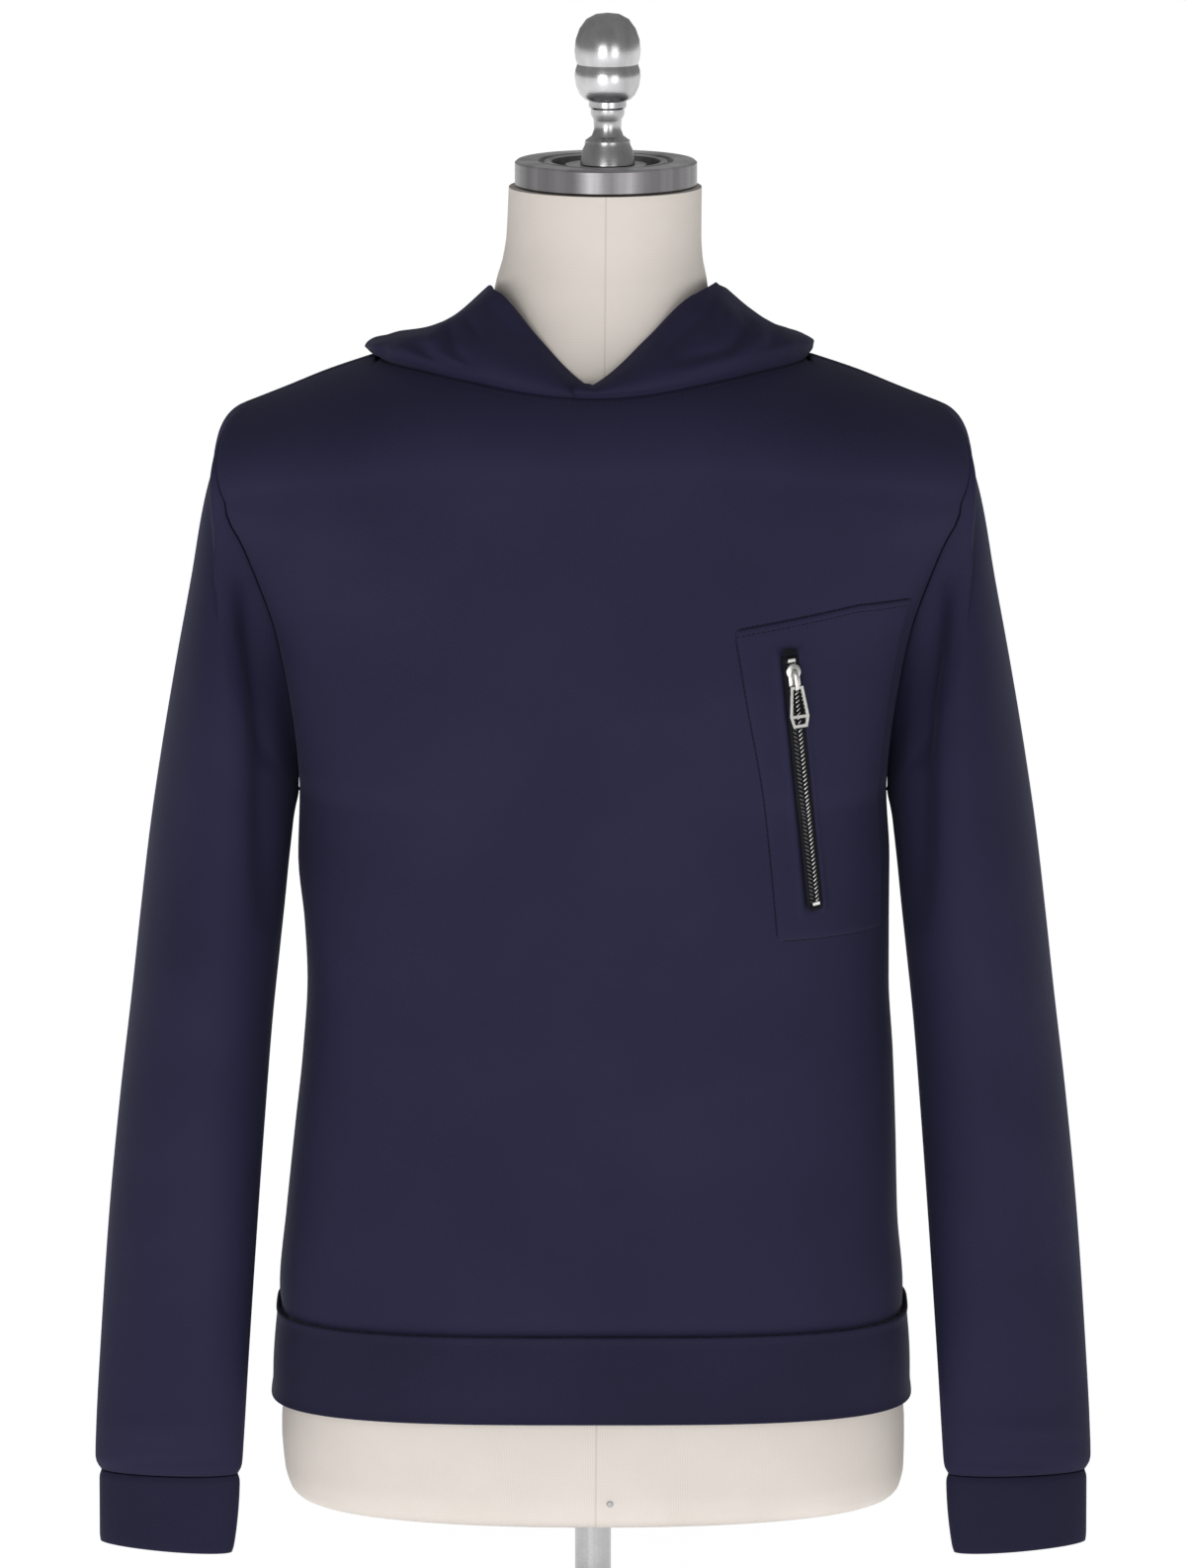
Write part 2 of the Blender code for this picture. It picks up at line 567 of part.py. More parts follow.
def hood_profile(table, turn, step):
    """Way out and up from the neck seam at a share of the way to the hood's free edge."""
    names = range(1, HOOD_POINTS + 1)
    ways = []
    for kind in ("out", "up"):
        values = [np.zeros_like(turn)] + [table.read(f"{kind}{name}", turn) for name in names]
        values = [2 * values[0] - values[1]] + values + [2 * values[-1] - values[-2]]
        ways.append(bend_through(np.array(values), step * HOOD_POINTS))
    return ways


def bend_through(values, place):
    """Smooth curve through values, one row each, at a place counted from the second row."""
    low = np.clip(place.astype(int), 0, len(values) - 4)
    part = place - low
    column = np.arange(values.shape[1])
    p0, p1, p2, p3 = (values[low + number, column] for number in range(4))
    bend = (-p0 + 3 * p1 - 3 * p2 + p3) * part ** 3
    curve = (2 * p0 - 5 * p1 + 4 * p2 - p3) * part ** 2
    return 0.5 * (2 * p1 + (p2 - p0) * part + curve + bend)


def hood_turns():
    """Turns round the neck on the panels' own columns, and a narrow last one at the back."""
    even = np.linspace(0, 180, 2 * NECK_COLUMNS + 1)
    front = (-HOOD_OVERLAP, 0.0, HOOD_LEAD)
    return np.concatenate([front, even[1:-1], [180 - HOOD_BACK_EDGE, 180.0]])


def hood_grid(mirror):
    """Outer face of one half of the hood, from the neck seam to the free edge."""
    table = HOOD_RIGHT if mirror > 0 else HOOD_LEFT
    turn = hood_turns()
    angle = np.radians(turn)
    reach = np.where(np.cos(angle) > 0, NECK_FRONT, NECK_BACK)
    seam_x = NECK_WIDE * np.sin(angle)
    seam_y = -reach * np.cos(angle)
    seam_z = yoke_height(np.abs(seam_x), seam_y) + SEAM_GAP
    seam_r = np.hypot(seam_x, seam_y)
    raised = HOOD_CROSSING * (1 - ease((turn - HOOD_LEAD) / HOOD_SETTLE)) if mirror > 0 else 0.0 * turn
    profile_turn = np.minimum(np.abs(turn), 180 - HOOD_BACK_EDGE)
    kept = np.clip(1 + (1 - HOOD_TIP) * turn / HOOD_OVERLAP, HOOD_TIP, 1)
    rows = []
    for step in np.linspace(0, 1, HOOD_ROWS + 1):
        out, up = hood_profile(table, profile_turn, step * kept)
        r = seam_r + out + raised
        x = seam_x / seam_r * r
        x = np.where(turn > 90, np.maximum(x, HOOD_BACK_GAP), x)
        rows.append((mirror * x, seam_y / seam_r * r, seam_z + up + raised * HOOD_CROSSING_UP))
    grid = np.array(rows).transpose(0, 2, 1)
    return grid if mirror > 0 else grid[:, ::-1]


def chest_point(x, z, lift):
    """Point of the front on its right side, moved out by a lift along its normal."""
    def surface(at_x, at_z):
        across = at_x / torso_half_width(1, at_z)
        return np.array([at_x, -float(torso_depth(across, at_z, -1)), at_z])

    point = surface(x, z)
    along_x = surface(x + 1.0, z) - surface(x - 1.0, z)
    along_z = surface(x, z + 1.0) - surface(x, z - 1.0)
    normal = np.cross(along_x, along_z)
    return point + normal / np.linalg.norm(normal) * lift


def pocket_grid():
    """Outer surface of the chest pocket's patch: the front panel's own points moved out."""
    share = panel_columns()
    fixed = share[(share > POCKET_FIXED) & (share < POCKET_END)]
    columns = np.concatenate([[fixed[0]] * POCKET_COLUMNS, fixed, [POCKET_END]])
    levels = np.array(chest_rows(columns, -1))
    half = torso_half_width(1, POCKET_TOP)
    out = np.minimum(half * columns - POCKET_EDGE.read("x", POCKET_TOP), POCKET_LEVEL_FROM)
    high = POCKET_TOP + POCKET_TOP_RISE * out
    first = int(np.searchsorted(levels[:, 0], POCKET_BOTTOM)) - 1
    last = int(np.searchsorted(levels[:, 0], POCKET_TOP))
    lifted = np.array([pocket_row(columns, fixed[0], z) for z in levels[first:last + 1]])
    lifted[0] = between_rows(lifted[0], lifted[1], POCKET_BOTTOM)
    lifted[-1] = between_rows(lifted[-2], lifted[-1], high)
    return lifted


def pocket_row(columns, joins, z):
    """One row of the front panel moved out, with columns added up to the pocket's free edge."""
    half = torso_half_width(1, z)
    start = float(POCKET_EDGE.read("x", z[0]) / half[0])
    across = columns.copy()
    across[:POCKET_COLUMNS + 1] = np.linspace(start, joins, POCKET_COLUMNS + 1)
    lift = PATCH_CLOTH + LAY_GAP
    return [chest_point(x, level, lift) for x, level in zip(across * half, z)]


def between_rows(lower, upper, z):
    """Points between two rows at given heights."""
    part = (z - lower[:, 2]) / (upper[:, 2] - lower[:, 2])
    return lower + (upper - lower) * part[:, None]


def zip_frame(down):
    """Place on the patch at a way down the zip, with its across, down and out directions."""
    lift = PATCH_CLOTH + LAY_GAP
    top, bottom = np.array(ZIP_TOP), np.array(ZIP_BOTTOM)
    length = np.linalg.norm(bottom - top)

    def place(at):
        x, z = top + (bottom - top) * at / length
        return chest_point(x, z, lift)

    down_way = place(down + 2) - place(down - 2)
    down_way = down_way / np.linalg.norm(down_way)
    out_way = chest_point(*(top + (bottom - top) * down / length), lift + 1) - place(down)
    across = np.cross(down_way, out_way)
    across = across / np.linalg.norm(across)
    out_way = np.cross(across, down_way)
    return place(down), across, down_way, out_way


def zip_grid():
    """Outer surface of the zip's tape and chain."""
    length = float(np.linalg.norm(np.array(ZIP_BOTTOM) - np.array(ZIP_TOP)))
    rows = []
    for down in np.linspace(length - 2, 2, ZIP_ROWS + 1):
        place, across, _, out_way = zip_frame(down)
        row = []
        for share in (-0.5, 0.0, 0.5):
            row.append(place + out_way * (ZIP_THICK + LAY_GAP) + across * ZIP_WIDE * share)
        rows.append(row)
    grid = np.array(rows)
    return grid[:, ::-1] if grid[0, 0, 0] > grid[0, -1, 0] else grid


# ---------------------------------------------------------------- building

def clear_scene():
    for item in list(bpy.data.objects):
        bpy.data.objects.remove(item, do_unlink=True)


def make_collection(name):
    collection = bpy.data.collections.new(name)
    bpy.context.scene.collection.children.link(collection)
    return collection


def make_material(name):
    red, green, blue, alpha, roughness, metallic = COLOURS[name]
    material = bpy.data.materials.new(name)
    material.use_nodes = True
    shader = material.node_tree.nodes["Principled BSDF"]
    shader.inputs["Base Color"].default_value = (red, green, blue, alpha)
    shader.inputs["Roughness"].default_value = roughness
    shader.inputs["Metallic"].default_value = metallic
    return material


def new_object(name, bm, material, smooth=True):
    mesh = bpy.data.meshes.new(name)
    bm.to_mesh(mesh)
    bm.free()
    mesh.materials.append(MATERIALS[material])
    if smooth:
        mesh.shade_smooth()
        mesh.set_sharp_from_angle(angle=math.radians(40))
    item = bpy.data.objects.new(name, mesh)
    PARTS.objects.link(item)
    return item


def grid_bmesh(points):
    """A create_grid sheet whose corners take the given points, in metres."""
    rows, columns = points.shape[:2]
    bm = bmesh.new()
    bmesh.ops.create_grid(bm, x_segments=columns - 1, y_segments=rows - 1, size=1)
    bm.verts.ensure_lookup_table()
    for index, vert in enumerate(bm.verts):
        vert.co = Vector(points[index // columns, index % columns]) * MM
    return bm


def cloth_piece(name, points, thickness=CLOTH, tube=False):
    """A sheet or a tube of cloth with its wall laid inside the outer surface."""
    bm = grid_bmesh(points)
    if tube:
        bmesh.ops.remove_doubles(bm, verts=bm.verts, dist=1e-6)
    item = new_object(name, bm, "navy_jersey")
    wall = item.modifiers.new("Wall", "SOLIDIFY")
    wall.thickness = thickness * MM
    wall.offset = -1
    return item


def turned_piece(name, profile, axis, base_z, material, edge=0.0):
    """A profile of radius and height, turned about an upright axis."""
    bm = bmesh.new()
    verts = [bm.verts.new((radius * MM, 0, height * MM)) for radius, height in profile]
    for first, second in zip(verts, verts[1:]):
        bm.edges.new((first, second))
    item = new_object(name, bm, material, smooth=False)
    item.location = Vector((axis[0], axis[1], base_z)) * MM
    screw = item.modifiers.new("Turn", "SCREW")
    screw.steps = TURNED_STEPS
    screw.render_steps = TURNED_STEPS
    screw.use_merge_vertices = True
    screw.merge_threshold = 0.00002
    screw.use_smooth_shade = True
    if edge > 0:
        bevel = item.modifiers.new("Edge", "BEVEL")
        bevel.width = edge * MM
        bevel.segments = 2
        bevel.angle_limit = math.radians(50)
    return item


def build_torso_cloth():
    cloth_piece("front_panel", panel_grid(-1))
    cloth_piece("back_panel", panel_grid(1))
    cloth_piece("hem_band", hem_grid()[:, ::-1], tube=True)


def build_sleeves():
    for name, mirror in (("left", -1), ("right", 1)):
        cloth_piece(f"sleeve_{name}", sleeve_grid(mirror), tube=True)
        cloth_piece(f"cuff_{name}", cuff_grid(mirror), tube=True)


def build_hood():
    cloth_piece("hood_right", hood_grid(1))
    cloth_piece("hood_left", hood_grid(-1))


def build_pocket():
    cloth_piece("pocket_patch", pocket_grid(), thickness=PATCH_CLOTH)
    tape = cloth_piece("zip_tape", zip_grid(), thickness=ZIP_THICK)
    tape.data.materials[0] = MATERIALS["zip_black"]


def zip_matrix(down, lift):
    """Transform whose X runs across the zip, Y down it and Z out of it."""
    place, across, down_way, out_way = zip_frame(down)
    spot = (place + out_way * lift) * MM
    turn = Matrix((across, down_way, out_way)).transposed().to_4x4()
    return Matrix.Translation(Vector(spot)) @ turn


def add_block(bm, size, centre):
    made = bmesh.ops.create_cube(bm, size=1)
    bmesh.ops.scale(bm, vec=Vector(size) * MM, verts=made["verts"])
    bmesh.ops.translate(bm, vec=Vector(centre) * MM, verts=made["verts"])


def add_bevel(item, width, segments=2):
    bevel = item.modifiers.new("Edge", "BEVEL")
    bevel.width = width * MM
    bevel.segments = segments
    bevel.angle_limit = math.radians(40)


def build_zip_stops():
    length = float(np.linalg.norm(np.array(ZIP_BOTTOM) - np.array(ZIP_TOP)))
    base = LAY_GAP + ZIP_THICK + STAND_GAP
    for name, down in (("zip_stop_top", STOP_IN), ("zip_stop_bottom", length - STOP_IN)):
        bm = bmesh.new()
        add_block(bm, STOP_SIZE, (0, 0, STOP_SIZE[2] / 2))
        item = new_object(name, bm, "zip_silver", smooth=False)
        item.matrix_world = zip_matrix(down, base)
        add_bevel(item, STOP_EDGE, 1)


def build_slider():
    """Slider body with the crown that holds the pull tab."""
    wide, long, thick = SLIDER_SIZE
    bm = bmesh.new()
    bmesh.ops.create_cube(bm, size=1)
    bmesh.ops.scale(bm, vec=Vector(SLIDER_SIZE) * MM, verts=bm.verts)
    bmesh.ops.translate(bm, vec=Vector((0, 0, thick / 2)) * MM, verts=bm.verts)
    for vert in bm.verts:
        if vert.co.y > 0:
            vert.co.x *= SLIDER_END
    body = new_object("zip_slider", bm, "zip_silver", smooth=False)
    add_bevel(body, SLIDER_EDGE, 1)
    middle = (CROWN_TOP + CROWN_END) / 2
    rise = thick + CROWN_RISE
    crown = bmesh.new()
    add_block(crown, (CROWN_WIDE, CROWN_END - CROWN_TOP, rise), (0, middle, rise / 2))
    outer = cutter_object("crown_outer", crown)
    inner = bmesh.new()
    hole = CROWN_END - CROWN_TOP - 2 * CROWN_THICK
    add_block(inner, (CROWN_WIDE * 2, hole, CROWN_RISE - CROWN_THICK),
              (0, middle, thick + (CROWN_RISE - CROWN_THICK) / 2))
    window = cutter_object("crown_window", inner)
    join = body.modifiers.new("Crown", "BOOLEAN")
    join.operation = "UNION"
    join.object = outer
    cut = body.modifiers.new("Window", "BOOLEAN")
    cut.operation = "DIFFERENCE"
    cut.object = window
    place = zip_matrix(SLIDER_DOWN, LAY_GAP + ZIP_THICK + STAND_GAP)
    for item in (body, outer, window):
        item.matrix_world = place


def cutter_object(name, bm):
    mesh = bpy.data.meshes.new(name)
    bm.to_mesh(mesh)
    bm.free()
    item = bpy.data.objects.new(name, mesh)
    item.hide_render = True
    item.display_type = "WIRE"
    CUTTERS.objects.link(item)
    return item


def tab_half_width(down):
    """Half the pull tab's width at a way down from its top bar: a kite's outline."""
    downs = (-TAB_BAR_RADIUS, TAB_MIDDLE, TAB_LENGTH)
    return float(np.interp(down, downs, (TAB_TOP_WIDE, TAB_MIDDLE_WIDE, TAB_END_WIDE))) / 2


def tab_window(start, end):
    """Outline of a window between two bars of the pull tab."""
    corners = []
    for side, down in ((-1, start), (1, start), (1, end), (-1, end)):
        corners.append((side * (tab_half_width(down) - TAB_BAR), down))
    return corners


def build_tab():
    """Pull tab: a flat frame with two windows, turning about its top bar."""
    curve = bpy.data.curves.new("zip_tab_outline", "CURVE")
    curve.dimensions = "2D"
    curve.fill_mode = "BOTH"
    curve.extrude = TAB_THICK * MM / 2
    outline = []
    for side, down in ((-1, -TAB_BAR_RADIUS), (1, -TAB_BAR_RADIUS), (1, TAB_MIDDLE),
                       (1, TAB_LENGTH), (-1, TAB_LENGTH), (-1, TAB_MIDDLE)):
        outline.append((side * tab_half_width(down), down))
    upper = tab_window(TAB_BAR_RADIUS, TAB_MIDDLE - TAB_BAR / 2)
    lower = tab_window(TAB_MIDDLE + TAB_BAR / 2, TAB_LENGTH - TAB_BAR)
    for points in (outline, upper, lower):
        spline = curve.splines.new("POLY")
        spline.points.add(len(points) - 1)
        spline.use_cyclic_u = True
        for point, (across, down) in zip(spline.points, points):
            point.co = (across * MM, down * MM, 0, 1)
    flat = bpy.data.objects.new("zip_tab_flat", curve)
    PARTS.objects.link(flat)
    mesh = bpy.data.meshes.new_from_object(flat.evaluated_get(bpy.context.evaluated_depsgraph_get()))
    bm = bmesh.new()
    bm.from_mesh(mesh)
    bmesh.ops.remove_doubles(bm, verts=bm.verts, dist=1e-6)
    bpy.data.objects.remove(flat, do_unlink=True)
    item = new_object("zip_tab", bm, "zip_silver", smooth=False)
    base = LAY_GAP + ZIP_THICK + STAND_GAP + SLIDER_SIZE[2]
    height = base + (CROWN_RISE - CROWN_THICK) / 2
    item.matrix_world = zip_matrix(SLIDER_DOWN + TAB_BAR_DOWN, height)
    return item


def build_form():
    turn = np.linspace(0, 2 * math.pi, FORM_AROUND + 1)
    across, forward = np.cos(turn), np.sin(turn)
    rows = []
    for z in FORM.rows[:, 0]:
        power = 2 / FORM.read("square", z)
        depth = np.where(forward > 0, FORM.read("front", z), FORM.read("back", z))
        x = FORM.read("half_x", z) * np.sign(across) * np.abs(across) ** power
        y = -depth * np.sign(forward) * np.abs(forward) ** power
        rows.append((x + FORM.read("middle_x", z), y, np.full_like(x, z)))
    grid = np.array(rows).transpose(0, 2, 1)[:, ::-1]
    bm = grid_bmesh(grid)
    bmesh.ops.remove_doubles(bm, verts=bm.verts, dist=1e-6)
    open_edges = [edge for edge in bm.edges if edge.is_boundary]
    bmesh.ops.holes_fill(bm, edges=open_edges)
    bmesh.ops.recalc_face_normals(bm, faces=bm.faces)
    new_object("form_body", bm, "cream_linen")


def build_form_pin():
    x, z = PIN_PLACE
    depth = float(FORM.read("front", z))
    share = abs(x) / float(FORM.read("half_x", z))
    y = -depth * (1 - share ** 2) ** 0.5
    bm = bmesh.new()
    bmesh.ops.create_cone(bm, cap_ends=True, segments=16, radius1=PIN_RADIUS * MM,
                          radius2=PIN_RADIUS * PIN_TAPER * MM, depth=PIN_STANDS * MM)
    item = new_object("form_pin", bm, "satin_aluminium", smooth=False)
    item.rotation_euler = (math.radians(90), 0, 0)
    item.location = Vector((x, y - PIN_STANDS / 2 - STAND_GAP, z)) * MM


def build_neck_metal():
    turned_piece("neck_cap", CAP_PROFILE, NECK_AXIS, NECK_TOP, "satin_aluminium")
    turned_piece("finial", FINIAL_PROFILE, (NECK_AXIS[0] + 1, NECK_AXIS[1]), NECK_TOP,
                 "satin_aluminium")


def build_stand():
    post_bottom = BASE_THICK + STAND_GAP
    post_top = FORM_UNDERSIDE - STAND_GAP
    bm = bmesh.new()
    bmesh.ops.create_cone(bm, cap_ends=True, segments=24, radius1=POST_RADIUS * MM,
                          radius2=POST_RADIUS * MM, depth=(post_top - post_bottom) * MM)
    post = new_object("stand_post", bm, "stand_steel")
    post.location = (0, 0, (post_top + post_bottom) / 2 * MM)
    bm = bmesh.new()
    bmesh.ops.create_cone(bm, cap_ends=True, segments=48, radius1=BASE_RADIUS * MM,
                          radius2=BASE_RADIUS * MM, depth=BASE_THICK * MM)
    base = new_object("stand_base", bm, "stand_steel")
    base.location = (0, 0, BASE_THICK / 2 * MM)
    add_bevel(base, BASE_EDGE)


clear_scene()
PARTS = make_collection(OBJECT_NAME)
CUTTERS = make_collection("Cutters")
MATERIALS = {name: make_material(name) for name in COLOURS}
build_torso_cloth()
build_sleeves()
build_hood()
build_pocket()
build_zip_stops()
build_slider()
build_tab()
build_form()
build_form_pin()
build_neck_metal()
build_stand()
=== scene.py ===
"""Dressed scene of a hooded pullover on a limbless dress form.

The cloth is drawn finer than its solids from the same sizes, in millimetres, then folded,
seamed and stitched. +Z is up, the front faces -Y, and "right" is the side at +X.
"""
import math

import bmesh
import bpy
import numpy as np
from mathutils import Matrix, Vector


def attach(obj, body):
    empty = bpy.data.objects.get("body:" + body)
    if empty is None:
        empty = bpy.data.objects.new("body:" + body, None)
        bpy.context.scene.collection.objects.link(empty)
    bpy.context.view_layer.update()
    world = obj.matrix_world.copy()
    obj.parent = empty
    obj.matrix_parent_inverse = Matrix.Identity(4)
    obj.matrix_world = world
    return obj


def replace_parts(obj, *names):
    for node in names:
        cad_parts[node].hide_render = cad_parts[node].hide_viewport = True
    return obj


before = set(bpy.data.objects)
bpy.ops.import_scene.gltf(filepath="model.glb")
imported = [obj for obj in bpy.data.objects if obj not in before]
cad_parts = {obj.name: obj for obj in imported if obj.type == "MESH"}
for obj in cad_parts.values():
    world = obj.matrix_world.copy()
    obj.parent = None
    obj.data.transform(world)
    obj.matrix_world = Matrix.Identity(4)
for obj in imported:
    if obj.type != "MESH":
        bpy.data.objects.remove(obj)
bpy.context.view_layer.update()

MM = 0.001
MEETS = 2e-6            # in metres, within which two points are one
FIXED = "worn_form"     # the body that all the pieces made here move with

CLOTH = 1.8             # wall of the cloth
PATCH_CLOTH = 1.4       # wall of the pocket's patch, in the solids
SEAM_GAP = 0.12         # gap between two pieces sewn together
SLEEVE_GAP = 0.15       # the same between a sleeve and its armhole
LAY_GAP = 0.4           # gap under the patch

HEM_BOTTOM = 190.0
HEM_SEAM = 243.0
UNDERARM = 560.0
CHEST_TOP = 766.0       # foot of the shoulder's rounding in the torso's table
CHEST_FLATNESS = 2.4    # power of the curve across the chest
CUFF_BOTTOM = 94.5
NECK_WIDE = 130.0
NECK_FRONT = 95.0
NECK_BACK = 80.0

# How finely each piece is drawn.
NECK_COLUMNS = 36
SHOULDER_COLUMNS = 34
HEM_ROWS = 56
CHEST_ROWS = 40
YOKE_ROWS = 30
SLEEVE_ROWS = 110
HOOD_ROWS = 84
HEM_AROUND = 220
FORM_AROUND = 128
TURNED_STEPS = 96
SLEEVE_CLOSER = 0.55    # how much closer rows lie at both ends of a sleeve
SLEEVE_CLOSER_UP = 1.05
HEM_BAND_ROWS = 28
CUFF_ROWS = 26
BAND_CLOSER = 0.6       # the same at both edges of a band
SIDE_CLOSER = 0.9       # powers that draw a panel's columns and rows closer together
HEM_CLOSER = 1.25
NECK_CLOSER = 1.35
HOOD_CLOSER = 0.5
PATCH_ROWS = 84
PATCH_COLUMNS = 70
PATCH_CLOSER = 0.5
TAPE_ROWS = 60
TAPE_COLUMNS = 4
HEIGHT_ROUNDS = 20      # rounds of reading a table until a turn has settled
SEAM_ROUNDS = 30
PATCH_ROUNDS = 3


class Table:
    """Rows of sizes in millimetres; a column is read as a smooth curve over the first one."""

    def __init__(self, columns, rows):
        self.columns = columns
        self.rows = np.array(rows, float)

    def read(self, name, at):
        key = self.rows[:, 0]
        value = self.rows[:, self.columns.index(name)]
        slope = np.diff(value) / np.diff(key)
        before, after = slope[:-1], slope[1:]
        same_way = before * after > 0
        total = np.where(same_way, before + after, 1.0)
        tangent = np.empty_like(value)
        tangent[1:-1] = np.where(same_way, 2 * before * after / total, 0.0)
        tangent[0], tangent[-1] = slope[0], slope[-1]
        at = np.clip(at, key[0], key[-1])
        low = np.clip(np.searchsorted(key, at, side="right") - 1, 0, len(key) - 2)
        width = key[low + 1] - key[low]
        part = (at - key[low]) / width
        start = (1 + 2 * part) * (1 - part) ** 2 * value[low]
        finish = part ** 2 * (3 - 2 * part) * value[low + 1]
        lead = part * (1 - part) ** 2 * width * tangent[low]
        trail = part ** 2 * (part - 1) * width * tangent[low + 1]
        return start + finish + lead + trail


TORSO = Table(("z", "left", "right", "front", "back", "square", "arm"), (
    (190, 192, 190, 118, 112, 3.2, 0),
    (243, 189.8, 188.6, 118.5, 112.5, 3.2, 0),
    (256, 191, 188.8, 120.5, 114, 3.1, 0),
    (300, 187, 185.4, 121.5, 112, 3, 0),
    (350, 181.8, 184.2, 121, 107, 2.9, 0),
    (400, 176.4, 182.4, 120, 102, 2.8, 0),
    (445, 173.6, 179.8, 120, 100, 2.7, 0),
    (480, 175.2, 179.8, 121, 101.5, 2.7, 0),
    (520, 179, 180, 123, 105.5, 2.7, 0),
    (560, 178, 178, 126, 110, 2.7, 0),
    (578, 178.5, 178.5, 127, 111.5, 2.7, 20),
    (600, 180.5, 180.5, 128, 113.5, 2.7, 26),
    (635, 186, 186, 129, 116, 2.6, 32),
    (665, 192.5, 192.5, 128.5, 117, 2.5, 38),
    (690, 201, 201, 127.5, 116, 2.5, 44),
    (715, 211, 211, 125, 113, 2.5, 49),
    (737, 221, 221, 121.5, 109, 2.5, 52),
    (766, 222, 222, 118, 104, 2.5, 52),
))
RIDGE = Table(("x", "height", "round_front", "round_back"), (
    (0, 843, 77, 66),
    (60, 841.5, 76, 66),
    (100, 835.5, 72, 64),
    (130, 825.5, 67, 61),
    (160, 815.5, 61, 57),
    (185, 805.5, 55, 53),
    (207, 797, 51, 50),
    (222, 791.5, 50, 50),
    (228, 788, 50, 50),
))
ARMHOLE_TOP = Table(
    ("turn", "x"),
    ((0, 207), (15, 214.5), (30, 221.5), (45, 225.5), (60, 227), (75, 225.5), (90, 221.5)),
)
SLEEVE = Table(("along", "out_x", "out_z", "in_x", "in_z", "middle_y", "half_depth", "lean"), (
    (0.00, 207, 797, 178, 560, 0, 52, 0),
    (0.05, 221.5, 778, 178.9, 554.5, 0, 52.5, 0),
    (0.11, 234.6, 739, 180.2, 549, 0.5, 57, 0),
    (0.19, 243.6, 688, 181.6, 541.5, 0.5, 66, 0),
    (0.27, 252.8, 638, 182.8, 531.5, 0, 71.5, 1),
    (0.35, 261.6, 586, 184.6, 515.5, -1, 73.5, 2),
    (0.43, 269, 536, 187, 491.5, -3, 72, 3.5),
    (0.51, 274.8, 487, 190.4, 460, -5, 69, 5),
    (0.59, 280.4, 436, 194.4, 422, -8, 64, 7),
    (0.70, 288, 371, 199.2, 362, -12, 55.5, 9.5),
    (0.80, 294.8, 301, 204.2, 293, -16, 45, 12),
    (0.90, 300.4, 222, 209.4, 215, -20, 33, 15),
    (0.96, 303.6, 166, 212.6, 163, -22, 25, 16.5),
    (0.985, 304.2, 147.5, 213.6, 149.5, -22, 21.5, 17),
    (1.00, 301.8, 138.5, 215, 143, -22, 18.5, 17),
))
HOOD_POINTS = 6
HOOD_SIZES = ("turn", *(way + str(point + 1) for point in range(HOOD_POINTS) for way in ("out", "up")))
# Rows that both halves of the hood share.
HOOD_FRONT_ROWS = (
    (0, -0.4, 1.5, -1.6, 2.7, -3.4, 3.5, -5.8, 4, -8.4, 4.3, -11.2, 4.5),
    (20, 1.5, 4, 1, 9, -3, 14.5, -10.5, 20, -19.5, 24, -30, 27),
)
HOOD_BACK_ROWS = (
    (168, 6, 8, 31, -26, 52, -126, 84, -87, 76, -8, 44, 24),
    (180, 6, 8, 31, -26, 52, -142, 88, -102, 84, -12, 54, 22),
)
HOOD_RIGHT = Table(HOOD_SIZES, (
    *HOOD_FRONT_ROWS,
    (45, 3.5, 6, 4, 13, -1, 20, -12, 28, -25, 37, -39, 45),
    (70, 3.5, 6, 3.5, 12, -4, 17, -18, 24, -35, 33.5, -51, 46),
    (90, 3, 4, 1.5, 9, -10, 13.5, -26, 20.5, -41, 31, -56, 43),
    (108, 5.5, 0.2, 9.8, 4.4, 1, 10.2, -14, 15.2, -29, 25, -43, 37),
    (125, 8, -1.5, 19.5, -5.6, 25.5, 0.4, 13.5, 8, -8, 15, -32, 31),
    (140, 8, 3, 21, 0, 34, -8, 37, 3, 16, 14, -20, 29),
    (155, 7, 7, 31.5, -15, 52, -75, 68, -46, 52, 1, 14, 25),
    *HOOD_BACK_ROWS,
))
HOOD_LEFT = Table(HOOD_SIZES, (
    *HOOD_FRONT_ROWS,
    (45, 4, 5, 4, 11, -2, 18, -14, 26, -28, 36, -43, 46.5),
    (70, 6, 4, 6.5, 9.5, -2, 14, -20, 18.5, -42, 28, -62, 44.5),
    (90, 5, 1.5, 6.5, 4.8, 0, 8.5, -18, 12.5, -42, 18.5, -65, 35),
    (108, 7, -1.2, 14, 0.8, 8.5, 6.6, -12, 10.2, -36, 16.5, -57, 29),
    (125, 8, -1.5, 19.5, -6, 25.5, -0.6, 13.5, 6.2, -12, 10.2, -42, 24),
    (140, 8, 3, 21, 0, 34, -8, 37, 2, 16, 9, -21, 24),
    (155, 7, 7, 31.5, -15, 52, -75, 68, -46, 50, -3, 14, 24),
    *HOOD_BACK_ROWS,
))
HOOD_SETTLE = 24.0      # degrees over which the raised half comes down
HOOD_LEAD = 6.0         # degrees from the centre at which it starts to
HOOD_BACK_GAP = 0.4     # from the centre back to each half's edge
HOOD_OVERLAP = 5.0      # degrees by which a half passes the centre of the front
HOOD_COLUMNS = 112
HOOD_LAST_TURN = 178.0
HOOD_BACK_EDGE = 1.0    # degrees from the centre back where its profile is last read
HOOD_TIP = 0.4          # share of the hood's depth that is left at its very tip
HOOD_CROSSING = 2.2     # how far the right half is raised over the left one
HOOD_LIFTS_BY = 0.12    # share of the hood by which it has come up to that
HOOD_UNDER = 1.6        # how far the left half goes in under it
HOOD_TUCK = 1.8         # how far the hood's seam edge is turned in
